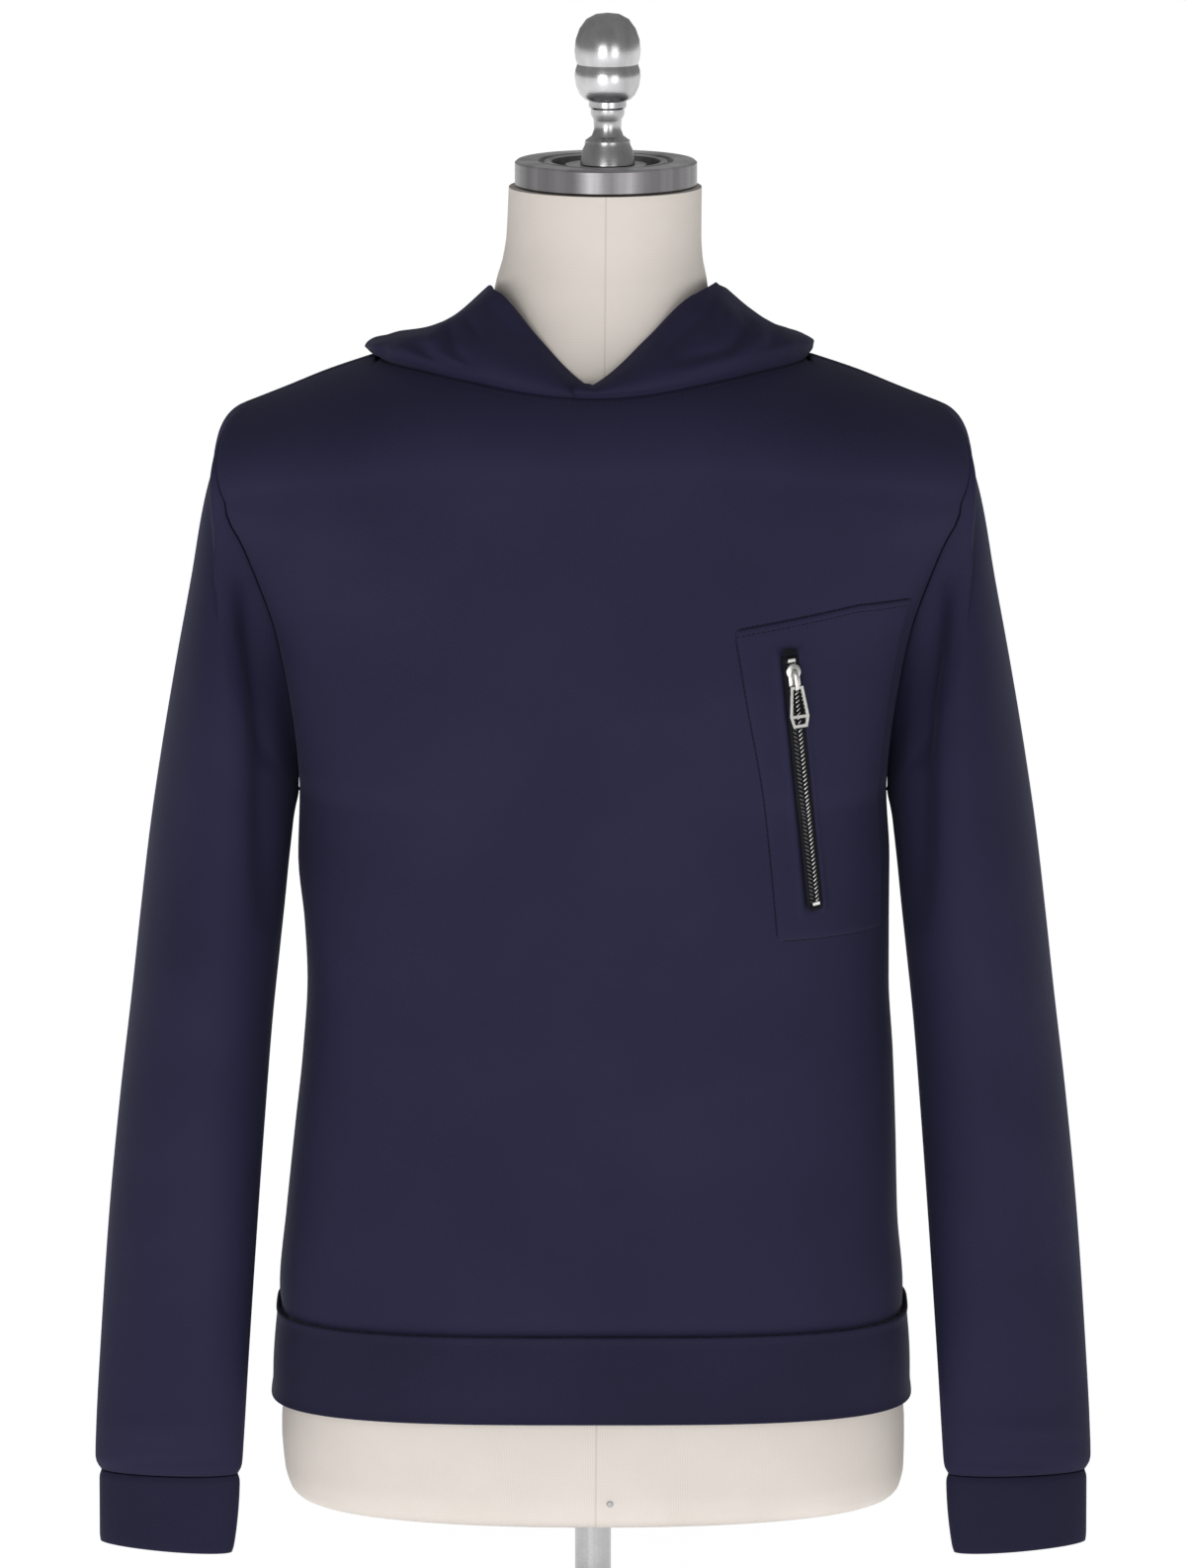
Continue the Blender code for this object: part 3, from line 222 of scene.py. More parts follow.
HOOD_TUCK_DOWN = 2.52   # and how far down
HOOD_CROSSING_UP = 0.8  # share of the raising that goes upwards
ARMHOLE_FADE = 0.3      # share of the sleeve over which the armhole's own shape fades
CAP_FADE_LESS = 0.26    # how much sooner it fades over the shoulder
DEPTH_FADE = 0.12       # share over which the sleeve comes forward to its own depth
CUFF_TAPER = 4.4        # how far a cuff's inner side comes in towards its free edge
HEM_SWELL = 2.2         # how far the doubled hem band stands out
HEM_FULLEST = 0.8       # share of its depth down to which it stays full
HEM_SWELL_TURNS = 1.1
HEM_SWELL_POWER = 0.6

POCKET_EDGE = Table(
    ("z", "x"), ((484, 111), (518, 108), (574, 102), (628, 92.5), (675, 84.5)))
POCKET_BOTTOM = 484.0
POCKET_TOP = 674.5
POCKET_TOP_RISE = 0.14
POCKET_LEVEL_FROM = 75.0
POCKET_END = 0.96
PATCH_LIFT = 1.25
PATCH_WALL = 1.0
TAPE_LIFT = 1.2
TACK_LIFT = 1.9
ZIP_TOP = (116.8, 658.5)
ZIP_BOTTOM = (132.2, 503.0)
ZIP_LENGTH = float(np.linalg.norm(np.subtract(ZIP_BOTTOM, ZIP_TOP)))
ZIP_WIDE = 10.4
ZIP_STEP = 2.0          # way to each side over which the zip's direction is taken

FORM = Table(("z", "half_x", "middle_x", "front", "back", "square"), (
    (122, 176, 1.5, 98, 95, 2.2),
    (124.5, 181.5, 1.5, 104.5, 100.5, 2.2),
    (130, 186, 1.3, 109, 104.5, 2.2),
    (142, 189, 0.8, 112, 107, 2.2),
    (166, 190.2, 0, 113, 108, 2.2),
    (190, 188.8, 0, 112.5, 107, 2.3),
    (243, 185, 0, 112, 106, 2.5),
    (300, 178.5, 0, 110.5, 101.5, 2.5),
    (350, 172, 0, 108, 96.5, 2.5),
    (400, 166, 0, 107, 92.5, 2.5),
    (445, 163, 0, 107.5, 91, 2.5),
    (500, 165, 0, 111, 94, 2.5),
    (560, 168, 0, 117.5, 102, 2.5),
    (620, 172, 0, 121, 107.5, 2.5),
    (680, 180, 0, 120, 108.5, 2.4),
    (720, 187, 0, 117, 105, 2.3),
    (745, 191, 0, 113, 101, 2.2),
    (766, 196, 0, 108, 95.5, 2.05),
    (782, 201, 0, 102, 90, 1.9),
    (792, 200, 0, 96.5, 85.5, 1.8),
    (799.2, 194.5, 0, 90.5, 81, 1.7),
    (804.6, 180.8, 0, 86.5, 78.5, 1.65),
    (813, 160, 0.3, 80.5, 75.5, 1.6),
    (820, 134, 0.8, 76, 73, 1.6),
    (826, 110, 1.5, 72.5, 71.5, 1.75),
    (832, 90, 2.2, 69.5, 70, 1.95),
    (840, 77, 3, 66.5, 68.5, 2),
    (850, 69, 4, 63.5, 67, 2),
    (860, 65.5, 4.7, 61, 65.5, 2),
    (872, 63.2, 5.3, 58.5, 63.5, 2),
    (884, 60.3, 5.9, 56, 61.5, 2),
    (898, 58.8, 6.6, 54.5, 60.5, 2),
    (927, 58.2, 7.4, 53.5, 60.5, 2),
))
NECK_TOP = 927.0
NECK_AXIS = (7.8, 3.5)
FINIAL_AXIS = (8.8, 3.5)
CAP_PROFILE = (
    (0, 13.2), (24.5, 13.2), (25, 11), (32, 11), (33, 15), (37, 15.4),
    (38.5, 13.6), (40, 13.6), (41, 15.6), (53.6, 15.6), (55, 14.4), (55, 1.6),
    (53.8, 0.4), (0, 0.4),
)
FINIAL_PROFILE = (
    (0, 105), (7.5, 103.9), (12.9, 101), (17, 95.3), (19.3, 88.8), (20, 82.3),
    (19.4, 77), (18.3, 74), (19.5, 70.4), (20, 66.8), (19, 60.5), (16.8, 55.6),
    (14.2, 52.9), (11.4, 51.6), (11.4, 48.2), (10.2, 46.8), (10.2, 43.6), (8.6, 40.5),
    (8.2, 34.6), (9.6, 30.5), (13.6, 27.6), (13.8, 25), (15.2, 22), (16.6, 13.7), (0, 13.7),
)


# ---------------------------------------------------------------- cloth shapes

def ease(value):
    """Smooth step from 0 to 1."""
    value = np.clip(value, 0.0, 1.0)
    return value * value * (3 - 2 * value)


def unit(vector):
    return vector / np.linalg.norm(vector)


def torso_half_width(side, z):
    """Half width of the torso; side is below 0 on the left."""
    return np.where(side < 0, TORSO.read("left", z), TORSO.read("right", z))


def torso_depth(across, z, face):
    """Depth of the torso at a share of its half width, 0 at the centre and 1 at the side."""
    centre = TORSO.read("front" if face < 0 else "back", z)
    arm = TORSO.read("arm", z)
    square = TORSO.read("square", z)
    across = np.clip(np.abs(across), 0.0, 1.0)
    rounded = (1 - across ** square) ** (1 / square)
    flat = 1 - across ** CHEST_FLATNESS
    share = ease((z - UNDERARM) / (CHEST_TOP - UNDERARM))
    return arm + (centre - arm) * (rounded * (1 - share) + flat * share)


def yoke_depth(across, face):
    """Depth of the torso at the foot of the shoulder's rounding."""
    return torso_depth(across, CHEST_TOP, face)


def yoke_point(across, turn, face):
    """Point on the shoulder's rounding; turn is 0 at the ridge and 90 degrees at the chest."""
    x = across * ARMHOLE_TOP.read("x", turn)
    height = RIDGE.read("height", np.abs(x))
    drop = RIDGE.read("round_front" if face < 0 else "round_back", np.abs(x))
    angle = np.radians(turn)
    y = face * yoke_depth(across, face) * np.sin(angle)
    return x, y, height - drop * (1 - np.cos(angle))


def yoke_height(x, y):
    """Height of the shoulders' outer surface over a place given from above."""
    turn = np.full_like(x, 45.0)
    face = np.where(y < 0, -1, 1)
    for _ in range(HEIGHT_ROUNDS):
        across = x / ARMHOLE_TOP.read("x", turn)
        depth = np.where(face < 0, yoke_depth(across, -1), yoke_depth(across, 1))
        turn = np.degrees(np.arcsin(np.clip(np.abs(y) / depth, 0, 1)))
    front = yoke_point(across, turn, -1)[2]
    back = yoke_point(across, turn, 1)[2]
    return np.where(face < 0, front, back)


def seam_turn(across, face):
    """Where a column of a panel meets the neck seam, or the ridge outside the neck."""
    reach = (NECK_FRONT if face < 0 else NECK_BACK) + SEAM_GAP
    turn = np.full_like(across, 45.0)
    for _ in range(SEAM_ROUNDS):
        x = across * ARMHOLE_TOP.read("x", turn)
        inside = np.clip(1 - (x / (NECK_WIDE + SEAM_GAP)) ** 2, 0, 1)
        y = np.maximum(reach * np.sqrt(inside), SEAM_GAP / 2)
        turn = np.degrees(np.arcsin(np.clip(y / yoke_depth(across, face), 0, 1)))
    return turn


def close_to_ends(count, pull):
    """Even shares from 0 to 1, drawn closer together at both ends."""
    even = np.linspace(0, 1, count + 1)
    return even * (1 - pull) + (1 - np.cos(math.pi * even)) / 2 * pull


def panel_columns():
    """Shares of the half width, closer together at the neck's side and at the side seam."""
    neck = (NECK_WIDE + SEAM_GAP) / ARMHOLE_TOP.read("x", 0.0)
    inner = neck * np.sin(np.linspace(0, math.pi / 2, NECK_COLUMNS + 1))
    step = np.linspace(0, math.pi / 2, SHOULDER_COLUMNS + 1)[1:]
    outer = neck + (1 - neck) * np.sin(step) ** SIDE_CLOSER
    half = np.concatenate([inner, outer])
    return np.concatenate([-half[:0:-1], half])


def chest_rows(across, face):
    """Heights of a panel's rows from the hem seam to the foot of the shoulder's rounding."""
    chest_x = across * ARMHOLE_TOP.read("x", 90.0)
    drop = RIDGE.read("round_front" if face < 0 else "round_back", np.abs(chest_x))
    chest_z = RIDGE.read("height", np.abs(chest_x)) - drop
    rows = []
    for step in np.linspace(0, 1, HEM_ROWS + 1)[:-1] ** HEM_CLOSER:
        rows.append(np.full_like(across, HEM_SEAM + SEAM_GAP / 2 + (UNDERARM - HEM_SEAM) * step))
    for step in np.linspace(0, math.pi / 2, CHEST_ROWS + 1)[:-1]:
        rows.append(UNDERARM + (chest_z - UNDERARM) * (1 - math.cos(step)))
    return rows


def yoke_turns(top_turn):
    """Turns of a panel's rows from the chest up to its top turn."""
    steps = 1 - np.linspace(1, 0, YOKE_ROWS + 1) ** NECK_CLOSER
    return [90 + (top_turn - 90) * step for step in steps]


def as_grid(rows, turned_over=False):
    """Rows of x, y and z as a grid of points; turned over, its columns run the other way."""
    grid = np.array(rows).transpose(0, 2, 1)
    return grid[:, ::-1] if turned_over else grid


def chest_row(across, z, face):
    """One row of a panel below the shoulder's rounding."""
    return across * torso_half_width(across, z), face * torso_depth(across, z, face), z


def panel_grid(face):
    """Outer surface of the front (face -1) or back (face 1) panel, from the hem seam up."""
    across = panel_columns()
    rows = [chest_row(across, z, face) for z in chest_rows(across, face)]
    rows += [yoke_point(across, turn, face) for turn in yoke_turns(seam_turn(across, face))]
    grid = as_grid(rows, face > 0)
    grid[:, :, 1] = face * np.maximum(np.abs(grid[:, :, 1]), SEAM_GAP / 2)
    return grid


def armhole_edge(face):
    """Points of the right armhole's edge, from the underarm upwards."""
    across = np.ones(1)
    points = [chest_row(across, z, face) for z in chest_rows(across, face)[HEM_ROWS:]]
    points += [yoke_point(across, turn, face) for turn in yoke_turns(np.zeros(1))]
    return np.array(points)[:, :, 0]


def armhole_ring():
    """The right armhole's edge all round: over the front to the underarm and up the back."""
    return np.concatenate([armhole_edge(-1)[::-1], armhole_edge(1)[1:]])


def sleeve_ring(along, turn):
    """Point of the right sleeve; turn is 0 on the outer side and 90 degrees at the front."""
    size = {name: SLEEVE.read(name, along) for name in SLEEVE.columns}
    across, forward = np.cos(turn), np.sin(turn)
    x, z = ((size["out_" + way] + size["in_" + way]) / 2
            + (size["out_" + way] - size["in_" + way]) / 2 * across for way in "xz")
    return x, size["middle_y"] - size["half_depth"] * forward + size["lean"] * across, z


def sleeve_turns():
    """Turns round the sleeve that meet the rows of the panels at the armhole."""
    hole = armhole_ring()
    outer, inner = SLEEVE.read("out_z", 0.0), SLEEVE.read("in_z", 0.0)
    level = (hole[:, 2] - (outer + inner) / 2) / ((outer - inner) / 2)
    turn = np.arccos(np.clip(level, -1, 1))
    middle = len(hole) // 2
    turn[middle + 1:] = 2 * math.pi - turn[middle + 1:]
    return turn


def sleeve_grid(mirror):
    """Outer surface of a sleeve from the armhole to the cuff seam."""
    turn, hole = sleeve_turns(), armhole_ring()
    start_x, start_y, _ = sleeve_ring(0.0, turn)
    fade = ARMHOLE_FADE - CAP_FADE_LESS * np.clip(np.cos(turn), 0, 1)
    rows = []
    for along in close_to_ends(SLEEVE_ROWS, SLEEVE_CLOSER) ** SLEEVE_CLOSER_UP:
        x, y, z = sleeve_ring(along, turn)
        x = x + (hole[:, 0] + SLEEVE_GAP - start_x) * (1 - ease(along / fade))
        y = y + (hole[:, 1] - start_y) * (1 - ease(along / DEPTH_FADE))
        rows.append((mirror * x, y, z + SEAM_GAP / 2 * along))
    return as_grid(rows, mirror < 0)


def cuff_grid(mirror):
    """Outer surface of a cuff, from its seam down to its free edge."""
    turn = sleeve_turns()
    x, y, z = sleeve_ring(1.0, turn)
    inner = (1 - np.cos(turn)) / 2
    rows = []
    for step in close_to_ends(CUFF_ROWS, BAND_CLOSER):
        level = (z - SEAM_GAP / 2) * (1 - step) + CUFF_BOTTOM * step
        rows.append((mirror * (x + CUFF_TAPER * inner * step ** 2), y, level))
    return as_grid(rows, mirror < 0)


def level_ring(table, z, left, right, around, swell=0.0):
    """One level of the torso or the form all round, from its half widths and its table."""
    turn = np.linspace(0, 2 * math.pi, around + 1)
    across, forward = np.cos(turn), np.sin(turn)
    power = 2 / table.read("square", z)
    half = np.where(across < 0, left, right) + swell
    depth = np.where(forward > 0, table.read("front", z), table.read("back", z)) + swell
    x = half * np.sign(across) * np.abs(across) ** power
    y = -depth * np.sign(forward) * np.abs(forward) ** power
    return x, y, np.full_like(x, z)


def hem_grid():
    """Outer surface of the hem band, all round."""
    rows = []
    for step in close_to_ends(HEM_BAND_ROWS, BAND_CLOSER):
        full = math.sin(math.pi * min(step, HEM_FULLEST) / HEM_SWELL_TURNS)
        swell = HEM_SWELL * full ** HEM_SWELL_POWER if step > 0 else 0.0
        z = HEM_SEAM - SEAM_GAP / 2 + (HEM_BOTTOM - HEM_SEAM) * step
        left, right = TORSO.read("left", z), TORSO.read("right", z)
        rows.append(level_ring(TORSO, z, left, right, HEM_AROUND, swell))
    return as_grid(rows, True)


def hood_profile(table, turn, step):
    """Way out and up from the neck seam at a share of the way to the hood's free edge."""
    ways = []
    for way in ("out", "up"):
        values = [table.read(way + str(point + 1), turn) for point in range(HOOD_POINTS)]
        values = [-values[0], np.zeros_like(turn), *values, 2 * values[-1] - values[-2]]
        ways.append(bend_through(np.array(values), step * HOOD_POINTS))
    return ways


def bend_through(values, place):
    """Smooth curve through values, one row each, at a place counted from the second row."""
    low = np.clip(place.astype(int), 0, len(values) - 4)
    part = place - low
    column = np.arange(values.shape[1])
    p0, p1, p2, p3 = (values[low + number, column] for number in range(4))
    bend = (-p0 + 3 * p1 - 3 * p2 + p3) * part ** 3
    curve = (2 * p0 - 5 * p1 + 4 * p2 - p3) * part ** 2
    return 0.5 * (2 * p1 + (p2 - p0) * part + curve + bend)


def hood_turns():
    """Turns of the hood's columns, from the centre of the front round to the centre back."""
    main = np.linspace(0, HOOD_LAST_TURN, HOOD_COLUMNS)
    return np.concatenate([[-HOOD_OVERLAP, -3.0, -1.0], main, [180.0]])


def hood_grid(mirror):
    """Outer face of one half of the hood, from the neck seam to the free edge."""
    table = HOOD_RIGHT if mirror > 0 else HOOD_LEFT
    turn = hood_turns()
    angle = np.radians(turn)
    reach = np.where(np.cos(angle) > 0, NECK_FRONT, NECK_BACK)
    seam_x = NECK_WIDE * np.sin(angle)
    seam_y = -reach * np.cos(angle)
    seam_z = yoke_height(np.abs(seam_x), seam_y) + SEAM_GAP
    seam_r = np.hypot(seam_x, seam_y)
    crossing = 1 - ease((turn - HOOD_LEAD) / HOOD_SETTLE)
    profile_turn = np.minimum(np.abs(turn), 180 - HOOD_BACK_EDGE)
    kept = np.clip(1 + (1 - HOOD_TIP) * turn / HOOD_OVERLAP, HOOD_TIP, 1)
    rows = []
    for step in close_to_ends(HOOD_ROWS, HOOD_CLOSER):
        out, up = hood_profile(table, profile_turn, step * kept)
        lifted = HOOD_CROSSING * ease(step / HOOD_LIFTS_BY) if mirror > 0 else -HOOD_UNDER
        raised = crossing * lifted
        r = seam_r + out + raised
        x = seam_x / seam_r * r
        x = np.where(turn > 90, np.maximum(x, HOOD_BACK_GAP), x)
        rows.append((mirror * x, seam_y / seam_r * r, seam_z + up + raised * HOOD_CROSSING_UP))
    grid = as_grid(rows)
    tucked = grid[:1].copy()
    tucked[0, :, :2] *= 1 - HOOD_TUCK / seam_r[:, None]
    tucked[0, :, 2] -= HOOD_TUCK_DOWN
    grid = np.concatenate([tucked, grid])
    return grid if mirror > 0 else grid[:, ::-1]


def chest_point(x, z, lift):
    """Point of the front on its right side, moved out by a lift along its normal."""
    def surface(at_x, at_z):
        across = at_x / torso_half_width(1, at_z)
        return np.array([at_x, -float(torso_depth(across, at_z, -1)), at_z])

    point = surface(x, z)
    along_x = surface(x + 1.0, z) - surface(x - 1.0, z)
    along_z = surface(x, z + 1.0) - surface(x, z - 1.0)
    return point + unit(np.cross(along_x, along_z)) * lift


def zip_frame(down):
    """Place on the patch at a way down the zip, with its across, down and out directions."""
    top, bottom = np.array(ZIP_TOP), np.array(ZIP_BOTTOM)

    def place(at, lift=0.0):
        x, z = top + (bottom - top) * at / ZIP_LENGTH
        return chest_point(x, z, PATCH_CLOTH + LAY_GAP + lift)

    down_way = unit(place(down + ZIP_STEP) - place(down - ZIP_STEP))
    across = unit(np.cross(down_way, place(down, 1.0) - place(down)))
    return place(down), across, down_way, np.cross(across, down_way)


def zip_matrix(down, lift):
    """Transform whose X runs across the zip, Y down it and Z out of it."""
    place, across, down_way, out_way = zip_frame(down)
    spot = (place + out_way * lift) * MM
    turn = Matrix((across, down_way, out_way)).transposed().to_4x4()
    return Matrix.Translation(Vector(spot)) @ turn


# ---------------------------------------------------------------- folds and edges

SEEN_TILT = 0.164       # how much higher a thing shows for each millimetre further back
FOLD_ENDS = 0.35        # share of a fold's height that is left at its ends
FOLD_TAPER = 0.8
FOLD_STOPS = 1.2        # how much sooner a fold fades past its ends than beside it
FACING_RISE = 2.0       # how fast folds rise where the cloth turns to face their side
FACING_FROM = 0.05
GROOVE_DEPTH = 0.3
GROOVE_WIDTH = 0.9
ROLL_POWER = 1.6


def surface_normals(grid, closed=False):
    """Outward unit normals of a grid of points."""
    along = np.gradient(grid, axis=0)
    if closed:
        wrapped = np.concatenate([grid[:, -2:-1], grid, grid[:, 1:2]], axis=1)
        around = (wrapped[:, 2:] - wrapped[:, :-2]) / 2
    else:
        around = np.gradient(grid, axis=1)
    normal = np.cross(around, along)
    return normal / np.maximum(np.linalg.norm(normal, axis=2, keepdims=True), 1e-9)


def fold_relief(grid, folds, face=-1, closed=False):
    """Relief of folds on the side that faces front (-1) or back (1). Each is a line as seen
    from the photo's side, with a width and a height."""
    relief = np.zeros(grid.shape[:2])
    seen = grid[:, :, 2] + SEEN_TILT * grid[:, :, 1]
    for x0, z0, x1, z1, width, height in folds:
        way = np.array([x1 - x0, z1 - z0], float)
        length = np.hypot(*way)
        from_start = np.stack([grid[:, :, 0] - x0, seen - z0], axis=2)
        along = from_start @ way / length ** 2
        beside = (from_start[:, :, 0] * way[1] - from_start[:, :, 1] * way[0]) / length
        beyond = np.maximum(np.abs(along - 0.5) - 0.5, 0) * length
        full = np.sin(math.pi * np.clip(along, 0, 1)) ** FOLD_TAPER
        taper = FOLD_ENDS + (1 - FOLD_ENDS) * full
        off = np.hypot(beside, beyond * FOLD_STOPS)
        relief += height * taper * np.exp(-(off / width) ** 2)
    facing = face * surface_normals(grid, closed)[:, :, 1]
    return relief * ease(facing * FACING_RISE - FACING_FROM)


def mirrored(folds):
    """The same folds on the other side of the centre."""
    return tuple((-x0, z0, -x1, z1, width, height) for x0, z0, x1, z1, width, height in folds)


def run_along(points, axis=0):
    """Length from the first point to each one, down the rows or across the columns."""
    steps = np.linalg.norm(np.diff(points, axis=axis), axis=-1)
    return np.insert(np.cumsum(steps, axis=axis), 0, 0.0, axis=axis)


def read_along(run, values, length):
    """Points or directions read at a length along their line."""
    return np.array([np.interp(length, run, values[:, k]) for k in range(3)])


def inset_line(grid, distance):
    """Line of points a distance inside a grid's last row, with its normals."""
    outs = surface_normals(grid)
    points, normals = [], []
    for path, out in zip(grid[::-1].swapaxes(0, 1), outs[::-1].swapaxes(0, 1)):
        run = run_along(path)
        points.append(read_along(run, path, distance))
        normals.append(read_along(run, out, distance))
    return np.array(points), np.array(normals)


def inset_groove(grid, distance):
    """Relief of the groove that a row of stitches pulls into the cloth."""
    run = run_along(grid[::-1])[::-1]
    return -GROOVE_DEPTH * np.exp(-((run - distance) / GROOVE_WIDTH) ** 2)


def edge_roll(grid, **edges):
    """Inward roll of the cloth close to its sewn edges, each given as its reach and depth."""
    down, beside = run_along(grid), run_along(grid, 1)
    away = {"start": down, "end": down[-1:] - down,
            "left": beside, "right": beside[:, -1:] - beside}
    return -sum(depth * np.exp(-(away[edge] / reach) ** ROLL_POWER)
                for edge, (reach, depth) in edges.items())


def moved_out(grid, relief, closed=False):
    """The grid moved along its normals; a closed one meets itself."""
    if closed:
        relief[:, -1] = relief[:, 0]
    return grid + surface_normals(grid, closed) * relief[:, :, None]


# ---------------------------------------------------------------- materials

def new_material(name, **plain):
    """A material with its shader's plain values, such as Sheen_Weight for Sheen Weight."""
    material = bpy.data.materials.new(name)
    material.use_nodes = True
    shader = material.node_tree.nodes["Principled BSDF"]
    for socket, value in plain.items():
        shader.inputs[socket.replace("_", " ")].default_value = value
    return material, material.node_tree, shader.inputs


def add_node(tree, kind, output, **settings):
    """Adds a node and gives one of its outputs. A setting is a value or another output."""
    node = tree.nodes.new("ShaderNode" + kind)
    for name, value in settings.items():
        socket = node.inputs.get(name.replace("_", " "))
        if socket is None:
            setattr(node, name, value)
        elif isinstance(value, bpy.types.NodeSocket):
            tree.links.new(value, socket)
        else:
            socket.default_value = value
    return node.outputs[output]


def worked_out(tree, operation, *values):
    """Outputs of other nodes put together by one operation."""
    node = tree.nodes.new("ShaderNodeMath")
    node.operation = operation
    for value, socket in zip(values, node.inputs):
        tree.links.new(value, socket)
    return node.outputs["Value"]


def noise(tree, place, scale, detail, roughness=0.5):
    return add_node(tree, "TexNoise", "Fac", Vector=place, Scale=scale, Detail=detail,
                    Roughness=roughness)


def waves(tree, place, way, scale, distortion, detail):
    return add_node(tree, "TexWave", "Fac", Vector=place, bands_direction=way, Scale=scale,
                    Distortion=distortion, Detail=detail)


def colour_ramp(tree, value, *stops):
    """Colour between stops, each a position with its colour."""
    colour = add_node(tree, "ValToRGB", "Color", Fac=value)
    steps = colour.node.color_ramp.elements
    for step, (position, tone) in zip((steps[0], steps[1]), (stops[0], stops[-1])):
        step.position, step.color = position, (*tone, 1)
    for position, tone in stops[1:-1]:
        steps.new(position).color = (*tone, 1)
    return colour


def scaled_colour(tree, colour, scale):
    """A colour made lighter or darker by another node's output."""
    return add_node(tree, "VectorMath", "Vector", operation="SCALE", Vector=colour, Scale=scale)


def add_bump(tree, shader, height, strength, distance):
    """Gives a shader a relief from a height."""
    bump = add_node(tree, "Bump", "Normal", Strength=strength, Distance=distance, Height=height)
    tree.links.new(bump, shader["Normal"])


def darker(colour, share):
    return tuple(value * share for value in colour)


NAVY_TONES = ((0.0175, 0.0160, 0.0415), (0.0200, 0.0184, 0.0470), (0.0235, 0.0215, 0.0535))
NAVY_STOPS = (0.36, 0.5, 0.64)


def jersey_material(name, shade):
    """Smooth double-faced navy jersey: fine knit ribs, a faint melange and a soft sheen."""
    material, tree, shader = new_material(
        name, Roughness=0.72, Sheen_Weight=0.06, Sheen_Roughness=0.45,
        Sheen_Tint=(0.55, 0.58, 0.85, 1), Specular_IOR_Level=0.1)
    cloth = add_node(tree, "UVMap", "UV", uv_map="cloth")
    broad = noise(tree, add_node(tree, "TexCoord", "Object"), 9.0, 3.0)
    fine = noise(tree, cloth, 900.0, 2.0, 0.6)
    melange = add_node(tree, "Mix", "Result", data_type="FLOAT", Factor=0.42, A=broad, B=fine)
    tones = [darker(tone, shade) for tone in NAVY_TONES]
    colour = colour_ramp(tree, melange, *zip(NAVY_STOPS, tones))
    tree.links.new(colour, shader["Base Color"])
    ribs = waves(tree, cloth, "X", 390.0, 1.2, 1.0)
    loops = waves(tree, cloth, "Y", 330.0, 1.5, 1.0)
    knit = worked_out(tree, "MULTIPLY", ribs, loops)
    add_bump(tree, shader, worked_out(tree, "ADD", knit, fine), 0.22, 0.0003)
    return material


def thread_material(name, colour):
    """Twisted sewing thread."""
    material, tree, shader = new_material(name, Roughness=0.55, Sheen_Weight=0.03,
                                          Specular_IOR_Level=0.1)
    twist = noise(tree, add_node(tree, "TexCoord", "Object"), 1800.0, 1.0)
    shades = colour_ramp(tree, twist, (0.3, darker(colour, 0.7)), (0.7, colour))
    tree.links.new(shades, shader["Base Color"])
    return material


# The cover's middle seam: it leans with the neck from the underside to the neck's top.
FORM_SEAM_LINE = {"From_Min": 0.122, "From_Max": 0.927, "To_Min": 0.0015, "To_Max": 0.0078}
FORM_SEAM_HALF = 0.0004


def linen_material():
    """Cream cover: a plain weave of slubby threads over the form, with its middle seam."""
    material, tree, shader = new_material("cream_linen", Roughness=0.88, Sheen_Weight=0.1,
                                          Specular_IOR_Level=0.2)
    cloth = add_node(tree, "UVMap", "UV", uv_map="cloth")
    body = add_node(tree, "TexCoord", "Object")
    warp, weft = (waves(tree, cloth, way, 300.0, 2.0, 2.0) for way in "XY")
    weave = worked_out(tree, "MAXIMUM", warp, weft)
    slubs = add_node(tree, "Mix", "Result", data_type="FLOAT", Factor=0.6, A=weave,
                     B=noise(tree, body, 14.0, 4.0))
    colour = colour_ramp(tree, slubs, (0.25, (0.68, 0.62, 0.565)), (0.75, (0.80, 0.74, 0.685)))
    side = add_node(tree, "SeparateXYZ", "X", Vector=body)
    middle = add_node(tree, "MapRange", "Result", Value=side.node.outputs["Z"], **FORM_SEAM_LINE)
    away = worked_out(tree, "ABSOLUTE", worked_out(tree, "SUBTRACT", side, middle))
    line = add_node(tree, "MapRange", "Result", Value=away, From_Min=FORM_SEAM_HALF,
                    From_Max=FORM_SEAM_HALF * 2, To_Min=0.86, To_Max=1.0)
    tree.links.new(scaled_colour(tree, colour, line), shader["Base Color"])
    add_bump(tree, shader, weave, 0.2, 0.0003)
    return material


def metal_material(name, colour, roughness, grain, uneven, tall=1.0, darkest=0.72, top=1.0):
    """Worked metal: fine turning marks and an uneven polish, drawn out upwards by tall.
    Faces that look up are made brighter by top, a painted top light."""
    material, tree, shader = new_material(name, Roughness=roughness, Metallic=1.0)
    body = add_node(tree, "TexCoord", "Object")
    marks = noise(tree, add_node(tree, "Mapping", "Vector", Scale=grain, Vector=body), 60.0, 3.0)
    drawn = add_node(tree, "Mapping", "Vector", Scale=(1, 1, tall), Vector=body)
    polish = colour_ramp(tree, noise(tree, drawn, uneven, 4.0, 0.6),
                         (0.3, darker(colour, darkest)), (0.7, colour))
    normal = add_node(tree, "NewGeometry", "Normal")
    # Painted top light: faces that look up get their colour raised by top.
    painted_top_light_scale = add_node(tree, "MapRange", "Result", From_Min=0.3, From_Max=0.9, To_Min=1.0,
                      To_Max=top, Value=add_node(tree, "SeparateXYZ", "Z", Vector=normal))
    tree.links.new(scaled_colour(tree, polish, painted_top_light_scale), shader["Base Color"])
    rough = add_node(tree, "MapRange", "Result", Value=marks, To_Min=roughness * 0.75,
                     To_Max=roughness * 1.3)
    tree.links.new(rough, shader["Roughness"])
    add_bump(tree, shader, marks, 0.12, 0.0002)
    return material


